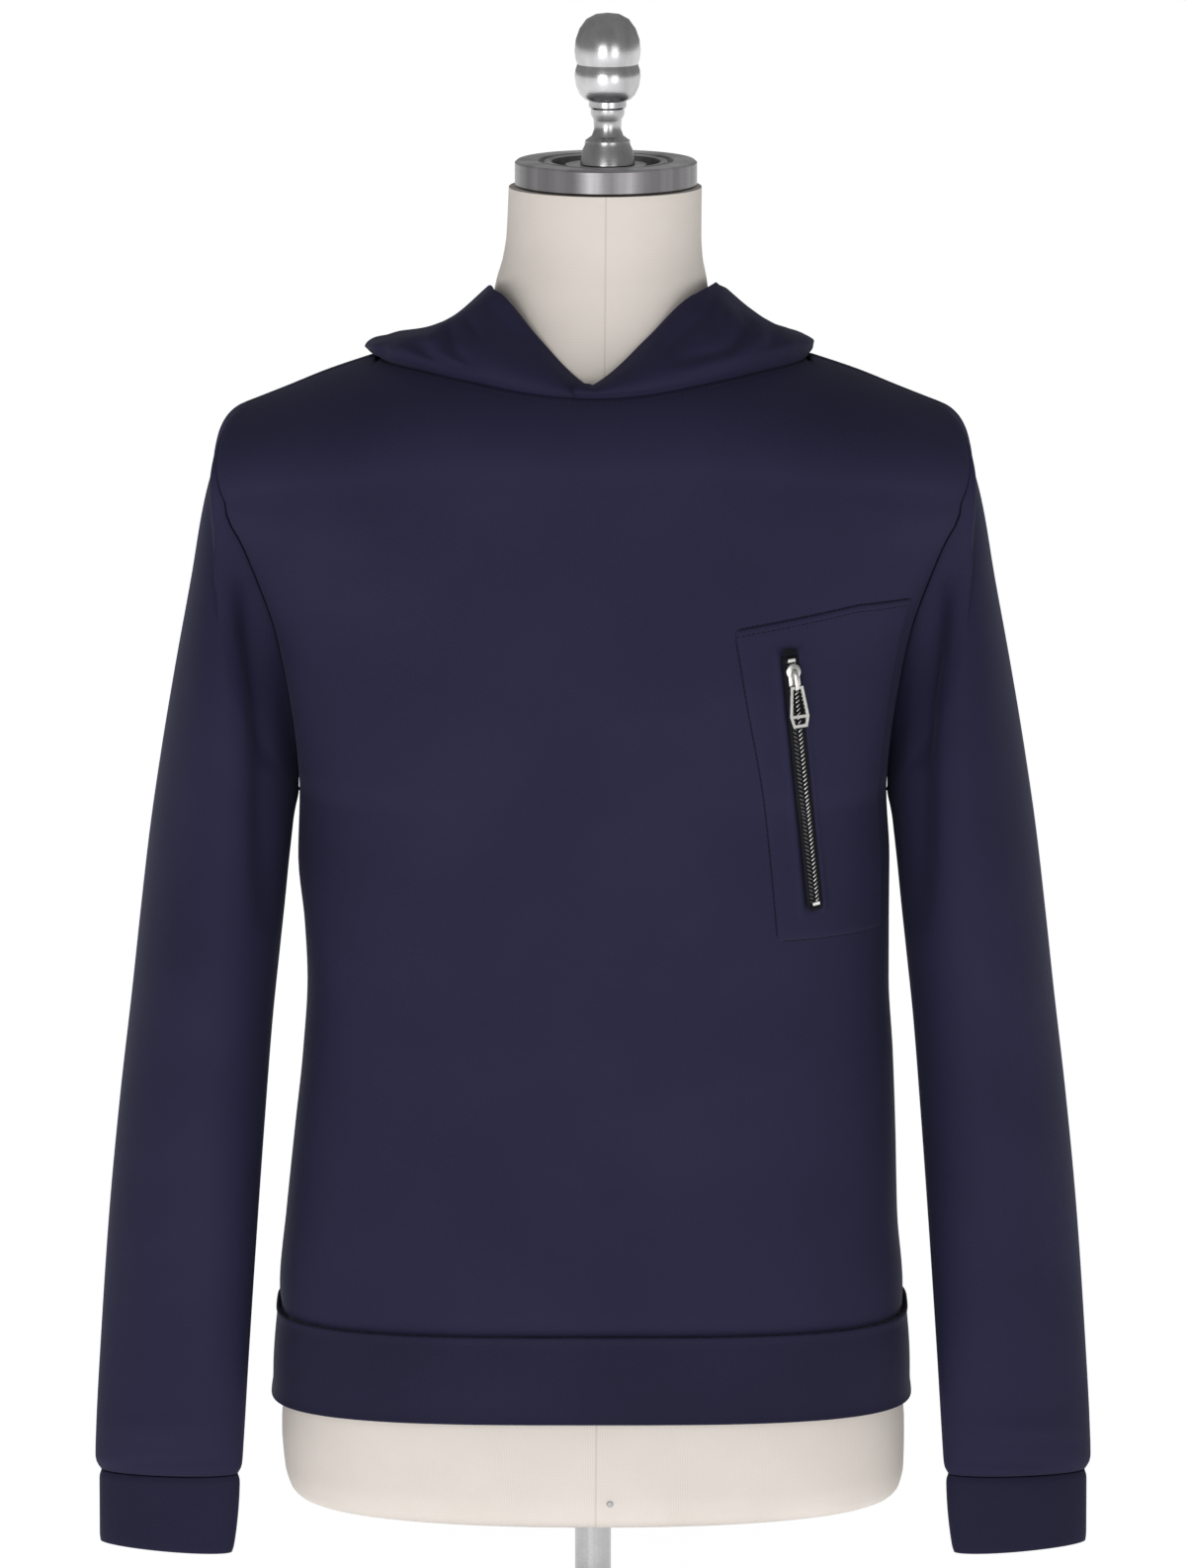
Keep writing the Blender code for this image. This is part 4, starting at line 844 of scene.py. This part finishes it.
def tape_material():
    """Black woven zip tape."""
    material, tree, shader = new_material("zip_tape_weave", Roughness=0.8,
                                          Specular_IOR_Level=0.08)
    weave = add_node(tree, "TexChecker", "Color", Vector=add_node(tree, "TexCoord", "Object"),
                     Scale=1400.0, Color1=(0.006, 0.006, 0.008, 1),
                     Color2=(0.016, 0.016, 0.019, 1))
    tree.links.new(weave, shader["Base Color"])
    return material


MATERIALS = {
    "navy_jersey": jersey_material("navy_jersey", 1.0),
    "navy_band": jersey_material("navy_band", 0.80),
    "navy_thread": thread_material("navy_thread", (0.032, 0.031, 0.070)),
    "seam_thread": thread_material("seam_thread", (0.006, 0.006, 0.014)),
    "black_thread": thread_material("black_thread", (0.008, 0.008, 0.010)),
    "cream_linen": linen_material(),
    "satin_aluminium": metal_material("satin_aluminium", (0.66, 0.66, 0.67), 0.25,
                                      (1, 1, 40), 40.0, 0.4, 0.45),
    # The neck cap's aluminium is darkened as painted shade on its sides, and its faces that look up
    # are raised 2.9 times as painted top light.
    "cap_aluminium_painted_light": metal_material("cap_aluminium_painted_light", (0.30, 0.29, 0.30), 0.30,
                                    (1, 1, 40), 34.0, 0.03, 0.30, 2.9),
    "stand_steel": metal_material("stand_steel", (0.55, 0.55, 0.56), 0.28, (1, 1, 40), 20.0),
    "zip_silver": metal_material("zip_silver", (0.86, 0.85, 0.82), 0.22, (1, 1, 1), 300.0),
    # A darker copy of the zip's silver, painted shade on one side of the coil.
    "zip_silver_painted_shade": metal_material("zip_silver_painted_shade", (0.20, 0.20, 0.21), 0.40, (1, 1, 1), 300.0),
    "zip_tape": tape_material(),
}


# ---------------------------------------------------------------- making pieces

ROD_RINGS = 4
ROD_FULLNESS = 0.6      # power that keeps a rod's middle thick
STITCH_OUT = 0.35       # share of a stitch's radius by which its middle stands out
STITCH_SINK = 0.05


def grid_bmesh(points):
    """A create_grid sheet laid on the points, with its cloth length and width as UVs."""
    rows, columns = points.shape[:2]
    bm = bmesh.new()
    bmesh.ops.create_grid(bm, x_segments=columns - 1, y_segments=rows - 1, size=1)
    bm.verts.ensure_lookup_table()
    for index, vert in enumerate(bm.verts):
        vert.co = Vector(points[index // columns, index % columns]) * MM
    across = np.linalg.norm(np.diff(points, axis=1), axis=2).mean(axis=0)
    along = np.linalg.norm(np.diff(points, axis=0), axis=2).mean(axis=1)
    u = np.concatenate([[0], np.cumsum(across)]) * MM
    v = np.concatenate([[0], np.cumsum(along)]) * MM
    layer = bm.loops.layers.uv.new("cloth")
    for face in bm.faces:
        for loop in face.loops:
            index = loop.vert.index
            loop[layer].uv = (u[index % columns], v[index // columns])
    return bm


def finished(name, bm, material, sharp=40):
    """Links a piece, gives it its material and says what it moves with."""
    mesh = bpy.data.meshes.new(name)
    bm.to_mesh(mesh)
    bm.free()
    mesh.materials.append(MATERIALS[material])
    mesh.shade_smooth()
    if sharp:
        mesh.set_sharp_from_angle(angle=math.radians(sharp))
    piece = bpy.data.objects.new(name, mesh)
    bpy.context.scene.collection.objects.link(piece)
    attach(piece, FIXED)
    return piece


def add_wall(piece, thickness, node):
    """Gives a sheet its wall, inside the outer surface; the piece stands for a solid."""
    wall = piece.modifiers.new("Wall", "SOLIDIFY")
    wall.thickness = thickness * MM
    wall.offset = -1
    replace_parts(piece, node)
    return piece


def cloth_piece(node, points, thickness=CLOTH, tube=False, material="navy_jersey"):
    """A sheet or a tube of cloth in place of a node."""
    bm = grid_bmesh(points)
    if tube:
        bmesh.ops.remove_doubles(bm, verts=bm.verts, dist=MEETS)
    piece = finished(f"{node}_cloth", bm, material, sharp=0)
    return add_wall(piece, thickness, node)


def stitch_row(bm, points, outs, length=2.4, gap=0.8, radius=0.28):
    """Stitches laid along a line of points, each a small rounded bar half sunk in the cloth."""
    run = run_along(points)
    for number in range(int(run[-1] // (length + gap))):
        start = number * (length + gap) + gap / 2
        first, last = (read_along(run, points, at) for at in (start, start + length))
        out = read_along(run, outs, start + length / 2)
        middle = (first + last) / 2 + out * (radius * STITCH_OUT - STITCH_SINK)
        add_rod(bm, middle, last - first, out, length, radius)


def add_rod(bm, middle, way, out, length, radius, sides=6, flat=0.7):
    """A short rod with tapered ends along a way, flattened in its out direction."""
    way = unit(way)
    side = unit(np.cross(way, out))
    turn = Matrix((side, np.cross(side, way), way)).transposed().to_4x4()
    place = Matrix.Translation(Vector(middle * MM)) @ turn
    made = bmesh.ops.create_uvsphere(bm, u_segments=sides, v_segments=ROD_RINGS, radius=1)
    for vert in made["verts"]:
        x, y, z = vert.co
        z = math.copysign(abs(z) ** ROD_FULLNESS, z)
        vert.co = place @ (Vector((x * radius, y * radius * flat, z * length / 2)) * MM)


# ---------------------------------------------------------------- the garment

# Folds as (x0, z0, x1, z1, width, height), seen from the front.
FRONT_FOLDS = (
    (-168, 640, -96, 560, 20, 1.6),
    (-150, 700, -40, 664, 30, 1.4),
    (-164, 520, -60, 500, 24, -1),
    (-160, 430, -30, 380, 26, 1.1),
    (160, 420, 40, 370, 26, 1.1),
    (-120, 320, -118, 250, 17, 1),
    (-40, 315, -36, 248, 20, 1),
    (46, 318, 50, 248, 18, 0.9),
    (124, 330, 132, 250, 18, 1.1),
    (30, 700, 10, 560, 34, 1),
    (150, 735, 60, 712, 22, 1.2),
    (-60, 640, -20, 470, 36, -0.9),
)
BACK_FOLDS = (
    (-150, 700, -40, 560, 26, 2.4),
    (150, 700, 40, 560, 26, 2.4),
    (-130, 600, -20, 430, 28, -2),
    (130, 600, 20, 430, 28, -2),
    (-120, 460, 10, 330, 24, 1.8),
    (120, 460, 30, 300, 24, 1.8),
    (0, 700, 0, 400, 30, 1.4),
    (-90, 330, -86, 262, 15, 1.2),
    (20, 330, 24, 262, 15, 1.2),
    (100, 330, 104, 262, 15, 1.2),
)
SLEEVE_FOLDS = (
    (208, 680, 194, 580, 8, -9),
    (198, 600, 196, 480, 8, -6),
    (222, 690, 236, 560, 16, 1.4),
    (244, 640, 252, 480, 16, -0.8),
    (206, 470, 262, 430, 15, 1.4),
    (214, 430, 270, 372, 14, -1.1),
    (214, 372, 272, 332, 13, 1.2),
    (222, 292, 280, 262, 14, -0.8),
    (230, 250, 240, 170, 10, 0.8),
    (268, 250, 276, 168, 10, 0.8),
    (220, 166, 296, 164, 7, 1.9),
    (218, 145, 300, 140, 3.6, -1.4),
)
HOOD_LEFT_FOLDS = (
    (-89, 847, -86, 826, 3.6, -3.4),
    (-86, 828, -74, 816, 4, -2.6),
    (-78, 847, -66, 831, 3.4, -2.6),
    (-113, 834, -91, 817, 4.4, -3.2),
    (-92, 818, -76, 812.5, 3.6, -2),
    (-129, 832, -125, 821, 3.4, -2.4),
    (-96, 842, -98, 828, 5, 1.8),
    (-72, 842, -58, 818, 6, 1.6),
    (-54, 858, -22, 818, 7, 1.6),
    (-122, 836, -108, 824, 4.6, 1.5),
    (-62, 853, -42, 827, 3.6, -1.4),
)
HOOD_RIGHT_FOLDS = (
    (91, 853, 97, 840.5, 3.6, -3.2),
    (97, 841, 82, 826.5, 4.2, -3.4),
    (83, 827, 50, 819, 4.4, -2.6),
    (75, 864, 70, 842, 3.4, -2.6),
    (112, 842, 106, 826, 4.6, -2.4),
    (84, 858, 80, 838, 5, 1.9),
    (104, 846, 98, 830, 5, 1.5),
    (62, 856, 28, 820, 7, 1.7),
    (122, 838, 116, 825, 4.4, 1.3),
    (70, 850, 44, 826, 3.6, -1.5),
)
HOOD_BACK_FOLDS = (
    (-70, 800, -30, 760, 12, 2.6),
    (70, 800, 30, 760, 12, 2.6),
    (-50, 850, -34, 790, 9, -1.8),
    (50, 850, 34, 790, 9, -1.8),
)
UNDERARM_FOLDS = 4      # the first folds of a sleeve are on its front alone
BACK_OF_SLEEVE = 0.6    # share of the others' height on the back
HOOD_FOLDS_FROM = 12    # how fast the hood's folds rise from its seam
HOOD_FOLDS_TO = 14      # and fall away at its free edge
NECK_STITCH = 4.2       # distance of the topstitching from the neck seam
POCKET_STITCH = 4.4
EDGE_SEAM_SINK = 0.15
EDGE_SEAM_AWAY = 0.4
SLIT_END = 6.0          # way over which the slit's relief fades past each end of the zip
SLIT_PAST = 5.0
SLIT_DEEP = 0.9
SLIT_HALF = 4.6
LIP_HIGH = 1.5
LIP_BESIDE = 6.9        # from the zip's middle to the top of each folded edge
LIP_WIDTH = 1.9


def stitch_piece(name, lines, thread="navy_thread", **sizes):
    """Rows of stitches as one piece; each line is its points with their normals."""
    bm = bmesh.new()
    for points, outs in lines:
        stitch_row(bm, points, outs, **sizes)
    return finished(name, bm, thread, sharp=0)


def panel(node, face, folds):
    """The front or back with its folds, rolled seams and the stitches below the neck."""
    grid = panel_grid(face)
    relief = fold_relief(grid, folds, face) + inset_groove(grid, NECK_STITCH)
    relief = relief + edge_roll(grid, start=(2.2, 0.9), end=(2.2, 0.9),
                                left=(1.6, 0.4), right=(1.6, 0.4))
    grid = moved_out(grid, relief)
    piece = cloth_piece(node, grid)
    points, outs = inset_line(grid, NECK_STITCH)
    kept = np.abs(points[:, 0]) < NECK_WIDE
    return piece, stitch_piece(f"neck_stitches_{node}", [(points[kept], outs[kept])])


front_panel, front_stitches = panel("front_panel", -1, FRONT_FOLDS)
back_panel, back_stitches = panel("back_panel", 1, BACK_FOLDS)

hem = hem_grid()
hem = moved_out(hem, edge_roll(hem, start=(2.6, 1.5), end=(2.2, 0.6)), True)
hem_band = cloth_piece("hem_band", hem, tube=True, material="navy_band")

sleeves, cuffs = [], []
for side, mirror in (("left", -1), ("right", 1)):
    sleeve = sleeve_grid(mirror)
    folds = SLEEVE_FOLDS if mirror > 0 else mirrored(SLEEVE_FOLDS)
    relief = edge_roll(sleeve, start=(1.6, 0.4), end=(2.6, 1.3))
    relief = relief + fold_relief(sleeve, folds, -1, True)
    relief = relief + BACK_OF_SLEEVE * fold_relief(sleeve, folds[UNDERARM_FOLDS:], 1, True)
    sleeves.append(cloth_piece(f"sleeve_{side}", moved_out(sleeve, relief, True), tube=True))
    cuff = cuff_grid(mirror)
    cuff = moved_out(cuff, edge_roll(cuff, start=(2.2, 1.2), end=(2.2, 0.5)), True)
    cuffs.append(cloth_piece(f"cuff_{side}", cuff, tube=True, material="navy_band"))

for side, mirror, folds in (("right", 1, HOOD_RIGHT_FOLDS), ("left", -1, HOOD_LEFT_FOLDS)):
    hood = hood_grid(mirror)
    relief = fold_relief(hood, folds) + fold_relief(hood, HOOD_BACK_FOLDS, 1)
    away = np.linspace(0, 1, len(hood))[:, None]
    relief = relief * ease(away * HOOD_FOLDS_FROM) * ease((1 - away) * HOOD_FOLDS_TO)
    cloth_piece(f"hood_{side}", moved_out(hood, relief))


def pocket_grid():
    """Outer surface of the chest pocket's patch, lifted off the front panel."""
    rows = []
    for step in close_to_ends(PATCH_ROWS, PATCH_CLOSER):
        row = []
        for share in np.linspace(0, 1, PATCH_COLUMNS + 1):
            z = POCKET_BOTTOM + (POCKET_TOP - POCKET_BOTTOM) * step
            for _ in range(PATCH_ROUNDS):
                start = float(POCKET_EDGE.read("x", z))
                end = float(torso_half_width(1, z)) * POCKET_END
                x = start + (end - start) * share
                out = min(x - float(POCKET_EDGE.read("x", POCKET_TOP)), POCKET_LEVEL_FROM)
                high = POCKET_TOP + POCKET_TOP_RISE * max(out, 0.0)
                z = POCKET_BOTTOM + (high - POCKET_BOTTOM) * step
            row.append(chest_point(x, z, PATCH_LIFT))
        rows.append(row)
    return np.array(rows)


def zip_lips(grid):
    """Relief of the slit's two folded edges, beside the zip."""
    way = np.subtract(ZIP_BOTTOM, ZIP_TOP) / ZIP_LENGTH
    from_top = grid[:, :, [0, 2]] - np.array(ZIP_TOP)
    down = from_top @ way
    beside = np.abs(from_top[:, :, 0] * way[1] - from_top[:, :, 1] * way[0])
    inside = ease((down + SLIT_END) / SLIT_END) * ease((ZIP_LENGTH + SLIT_PAST - down) / SLIT_END)
    lips = LIP_HIGH * np.exp(-((beside - LIP_BESIDE) / LIP_WIDTH) ** 2)
    return (lips - SLIT_DEEP * np.exp(-(beside / SLIT_HALF) ** 4)) * inside


pocket = pocket_grid()
pocket_relief = edge_roll(pocket, start=(1.4, 1.0), end=(1.4, 1.0), left=(1.4, 1.0))
pocket_relief = pocket_relief + zip_lips(pocket) + inset_groove(pocket, POCKET_STITCH)
pocket = moved_out(pocket, pocket_relief)
pocket_patch = cloth_piece("pocket_patch", pocket, thickness=PATCH_WALL)
pocket_stitches = stitch_piece("pocket_stitches", [inset_line(pocket, POCKET_STITCH)],
                               "seam_thread")


def edge_seam(grid, outs, row, column, away):
    """A line of the patch's outer edge, moved a little way off it and down to the panel."""
    line, out = grid[row, column], outs[row, column]
    way = np.gradient(line, axis=0)
    side = np.cross(way, out)
    side = side / np.linalg.norm(side, axis=1)[:, None]
    return line + side * away - out * EDGE_SEAM_SINK, out


pocket_outs = surface_normals(pocket)
edge_seams = stitch_piece(
    "pocket_edge_seams",
    [edge_seam(pocket, pocket_outs, slice(None), 0, -EDGE_SEAM_AWAY),
     edge_seam(pocket, pocket_outs, 0, slice(None), EDGE_SEAM_AWAY),
     edge_seam(pocket, pocket_outs, -1, slice(None), -EDGE_SEAM_AWAY)],
    "seam_thread", length=3.0, gap=0.2, radius=0.34)


# ---------------------------------------------------------------- zip

SLIDER_DOWN = 12.2      # from the zip's top to the slider's middle
SLIDER_LIFT = 2.0
SLIDER_THICK = 2.6
SLIDER_HEAD = 4.8
SLIDER_HEAD_DOWN = -2.1
SLIDER_FOOT = (7.6, 8.6, 2.5)
SLIDER_FOOT_DOWN = 2.6
SLIDER_ROUND = 0.7
CROWN_SECTION = (1.3, 0.75)
CROWN_REACH = 6.4
CROWN_MIDDLE = 3.05
CROWN_FROM = 1.4
CROWN_HIGH = 4.6
CROWN_SQUARE = 0.6
TOOTH_PITCH = 2.5
TOOTH_LONG = 3.4
TOOTH_RADIUS = 0.42
TOOTH_BESIDE = 1.75     # from the zip's middle to the middle of a turn of the coil
TOOTH_RISE = 0.25
TOOTH_WAY = (0.80, -0.60)  # across and down
CHAIN_FROM = 3.5
CHAIN_LESS = 6.0        # how much shorter the chain is than the zip
TAPE_END = 1.0
TAPE_WALL = 0.7
TACK_PITCH = 0.42
TACK_SLANT = 0.18
TACK_RADIUS = 0.34


def zip_tape_piece():
    """The tape between the slit's edges, under the chain."""
    rows = []
    for down in np.linspace(ZIP_LENGTH - TAPE_END, TAPE_END, TAPE_ROWS):
        place, across, _, out_way = zip_frame(down)
        rows.append([place + out_way * TAPE_LIFT + across * ZIP_WIDE * share
                     for share in np.linspace(-0.5, 0.5, TAPE_COLUMNS + 1)])
    grid = np.array(rows)
    if grid[0, 0, 0] > grid[0, -1, 0]:
        grid = grid[:, ::-1]
    piece = finished("zip_tape_cloth", grid_bmesh(grid), "zip_tape", sharp=0)
    return add_wall(piece, TAPE_WALL, "zip_tape")


def zip_chain_piece(name, side, material):
    """One side of the coil: slanting turns that meet the other side's in the middle."""
    bm = bmesh.new()
    for number in range(int((ZIP_LENGTH - CHAIN_LESS) / TOOTH_PITCH)):
        down = CHAIN_FROM + (number + (0.5 if side > 0 else 0)) * TOOTH_PITCH
        place, across, down_way, out_way = zip_frame(down)
        middle = place + across * side * TOOTH_BESIDE + out_way * (TAPE_LIFT + TOOTH_RISE)
        way = across * side * TOOTH_WAY[0] + down_way * TOOTH_WAY[1]
        add_rod(bm, middle, way, out_way, TOOTH_LONG, TOOTH_RADIUS, sides=10, flat=0.8)
    return finished(name, bm, material, sharp=0)


def bar_tack(name, down, wide, rows):
    """Close zigzag of thread across an end of the zip."""
    bm = bmesh.new()
    place, across, down_way, out_way = zip_frame(down)
    for number in range(rows):
        along = (number - (rows - 1) / 2) * TACK_PITCH
        way = across + down_way * (TACK_SLANT if number % 2 else -TACK_SLANT)
        middle = place + down_way * along + out_way * TACK_LIFT
        add_rod(bm, middle, way, out_way, wide, TACK_RADIUS, flat=0.9)
    return finished(name, bm, "black_thread", sharp=0)


def on_the_zip(name, bm):
    """A silver piece made about the origin in millimetres, put at the slider's place."""
    bmesh.ops.scale(bm, vec=(MM, MM, MM), verts=bm.verts)
    bmesh.ops.transform(bm, matrix=zip_matrix(SLIDER_DOWN, SLIDER_LIFT), verts=bm.verts)
    return finished(name, bm, "zip_silver", sharp=35)


def slider_body():
    """Slider with a rounded head and a narrower foot."""
    bm = bmesh.new()
    head = bmesh.ops.create_cone(bm, cap_ends=True, segments=40, radius1=SLIDER_HEAD,
                                 radius2=SLIDER_HEAD, depth=SLIDER_THICK)
    bmesh.ops.translate(bm, vec=(0, SLIDER_HEAD_DOWN, 0), verts=head["verts"])
    foot = bmesh.ops.create_cone(bm, cap_ends=True, segments=4, radius1=math.sqrt(0.5),
                                 radius2=math.sqrt(0.5), depth=1)
    bmesh.ops.rotate(bm, verts=foot["verts"], cent=(0, 0, 0),
                     matrix=Matrix.Rotation(math.pi / 4, 3, "Z"))
    bmesh.ops.scale(bm, vec=SLIDER_FOOT, verts=foot["verts"])
    bmesh.ops.translate(bm, vec=(0, SLIDER_FOOT_DOWN, 0), verts=foot["verts"])
    sharp = [edge for edge in bm.edges if edge.calc_face_angle(0) > 1]
    bmesh.ops.bevel(bm, geom=sharp, offset=SLIDER_ROUND, affect="EDGES", segments=3,
                    profile=0.5, material=-1)
    bmesh.ops.translate(bm, vec=(0, 0, SLIDER_THICK / 2), verts=bm.verts)
    piece = on_the_zip("zip_slider_body", bm)
    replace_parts(piece, "zip_slider")
    return piece


def slider_crown():
    """Flat arch over the slider that holds the pull tab's eye."""
    bm = bmesh.new()
    ring = bmesh.ops.create_circle(bm, cap_ends=True, segments=20, radius=1)
    bmesh.ops.scale(bm, vec=(*CROWN_SECTION, 1), verts=ring["verts"])
    bmesh.ops.translate(bm, vec=(0, -CROWN_REACH, 0), verts=ring["verts"])
    bmesh.ops.spin(bm, geom=bm.verts[:] + bm.edges[:] + bm.faces[:], cent=(0, 0, 0),
                   axis=(-1, 0, 0), dvec=(0, 0, 0), angle=math.pi, steps=32, use_merge=False)
    for vert in bm.verts:
        side, height = vert.co.y / CROWN_REACH, max(vert.co.z, 0.0) / CROWN_REACH
        vert.co.y = CROWN_MIDDLE + CROWN_REACH * math.copysign(abs(side) ** CROWN_SQUARE, side)
        vert.co.z = CROWN_FROM + CROWN_HIGH * height ** CROWN_SQUARE
    bmesh.ops.recalc_face_normals(bm, faces=bm.faces)
    return on_the_zip("zip_slider_crown", bm)


zip_tape = zip_tape_piece()
slider_body()
slider_crown()
# The coil's two sides are one metal: the side towards -X gets the darker copy as painted shade, and
# the side towards +X keeps the plain silver.
across_way = zip_frame(ZIP_LENGTH / 2)[1]
painted_lit_side = 1 if across_way[0] > 0 else -1
zip_chain_right = zip_chain_piece("zip_chain_right", painted_lit_side, "zip_silver")
zip_chain_left = zip_chain_piece("zip_chain_left", -painted_lit_side, "zip_silver_painted_shade")
tacks = [
    bar_tack("bar_tack_top", -1.6, 10.5, 8),
    bar_tack("bar_tack_bottom", ZIP_LENGTH - 0.6, 9.0, 6),
]


# ---------------------------------------------------------------- form and metal

FORM_LEVELS = np.concatenate([
    np.linspace(122, 150, 16)[:-1], np.linspace(150, 780, 60)[:-1],
    np.linspace(780, 900, 60)[:-1], np.linspace(900, 927, 12)])
FORM_MEETS = 1e-6


def form_piece():
    """The form's linen shell, closed at the underside and the neck's top."""
    rows = []
    for z in FORM_LEVELS:
        half = FORM.read("half_x", z)
        x, y, level = level_ring(FORM, z, half, half, FORM_AROUND)
        rows.append((x + FORM.read("middle_x", z), y, level))
    bm = grid_bmesh(as_grid(rows, True))
    bmesh.ops.remove_doubles(bm, verts=bm.verts, dist=FORM_MEETS)
    bmesh.ops.holes_fill(bm, edges=[edge for edge in bm.edges if edge.is_boundary])
    bmesh.ops.recalc_face_normals(bm, faces=bm.faces)
    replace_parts(finished("form_shell", bm, "cream_linen"), "form_body")


def turned(node, profile, axis, material):
    """A profile of radius and height on the neck, turned about an upright axis."""
    bm = bmesh.new()
    verts = [bm.verts.new((radius * MM, 0, height * MM)) for radius, height in profile]
    edges = [bm.edges.new(pair) for pair in zip(verts, verts[1:])]
    bmesh.ops.spin(bm, geom=verts + edges, cent=(0, 0, 0), axis=(0, 0, 1), dvec=(0, 0, 0),
                   angle=2 * math.pi, steps=TURNED_STEPS, use_merge=True)
    bmesh.ops.remove_doubles(bm, verts=bm.verts, dist=MEETS)
    bmesh.ops.recalc_face_normals(bm, faces=bm.faces)
    bmesh.ops.translate(bm, vec=Vector((*axis, NECK_TOP)) * MM, verts=bm.verts)
    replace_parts(finished(f"{node}_turned", bm, material, sharp=30), node)


form_piece()
turned("neck_cap", CAP_PROFILE, NECK_AXIS, "cap_aluminium_painted_light")
turned("finial", FINIAL_PROFILE, FINIAL_AXIS, "satin_aluminium")

for material, nodes in (("satin_aluminium", ("form_pin",)),
                        ("stand_steel", ("stand_post", "stand_base")),
                        ("zip_silver", ("zip_tab", "zip_stop_top", "zip_stop_bottom"))):
    for node in nodes:
        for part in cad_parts[node].material_slots:
            part.material = MATERIALS[material]


# ---------------------------------------------------------------- floor, light and camera

FLOOR_REACH = 16.0
LIGHT_SIDE = 1.6
LIGHT_AIM = (0, 0, 0.55)
WORLD_STRENGTH = 0.28


def floor_piece():
    """A pale floor that gives off a little light, so it's as white as the photo's ground."""
    bm = bmesh.new()
    bmesh.ops.create_grid(bm, x_segments=4, y_segments=4, size=FLOOR_REACH)
    mesh = bpy.data.meshes.new("floor")
    bm.to_mesh(mesh)
    bm.free()
    mesh.materials.append(new_material(
        "pale_floor", Roughness=0.9, Base_Color=(0.90, 0.90, 0.90, 1),
        Emission_Color=(1, 1, 1, 1), Emission_Strength=0.75)[0])
    floor = bpy.data.objects.new("floor", mesh)
    bpy.context.scene.collection.objects.link(floor)


def area_light(name, place, power):
    """A soft square light aimed at the garment's middle."""
    light = bpy.data.lights.new(name, "AREA")
    light.shape = "RECTANGLE"
    light.size = light.size_y = LIGHT_SIDE
    light.energy = power
    item = bpy.data.objects.new(name, light)
    item.location = place
    item.rotation_euler = (Vector(place) - Vector(LIGHT_AIM)).to_track_quat("Z", "Y").to_euler()
    bpy.context.scene.collection.objects.link(item)


floor_piece()
area_light("key", (-1.1, -3.6, 0.9), 36)
area_light("fill", (1.6, -3.4, 0.8), 16)
world = bpy.data.worlds.new("studio")
world.use_nodes = True
world.node_tree.nodes["Background"].inputs["Color"].default_value = (1, 1, 1, 1)
world.node_tree.nodes["Background"].inputs["Strength"].default_value = WORLD_STRENGTH
bpy.context.scene.world = world
bpy.context.scene.view_settings.view_transform = "Standard"

CAMERA_DISTANCE = 9.0
CAMERA_PITCH = math.radians(9.3)
CAMERA_AIM = (0.0, 0.0, 0.562)
LONG_SIDE_PIXELS = 1586
FOCAL_PIXELS = 15000
SENSOR = 36.0

camera = bpy.data.cameras.new("photo_camera")
camera.sensor_width = SENSOR
camera.lens = FOCAL_PIXELS / LONG_SIDE_PIXELS * SENSOR
camera.clip_end = 60
camera_object = bpy.data.objects.new("photo_camera", camera)
back = Vector((0, -math.cos(CAMERA_PITCH), math.sin(CAMERA_PITCH)))
camera_object.location = Vector(CAMERA_AIM) + back * CAMERA_DISTANCE
camera_object.rotation_euler = back.to_track_quat("Z", "Y").to_euler()
bpy.context.scene.collection.objects.link(camera_object)
bpy.context.scene.camera = camera_object
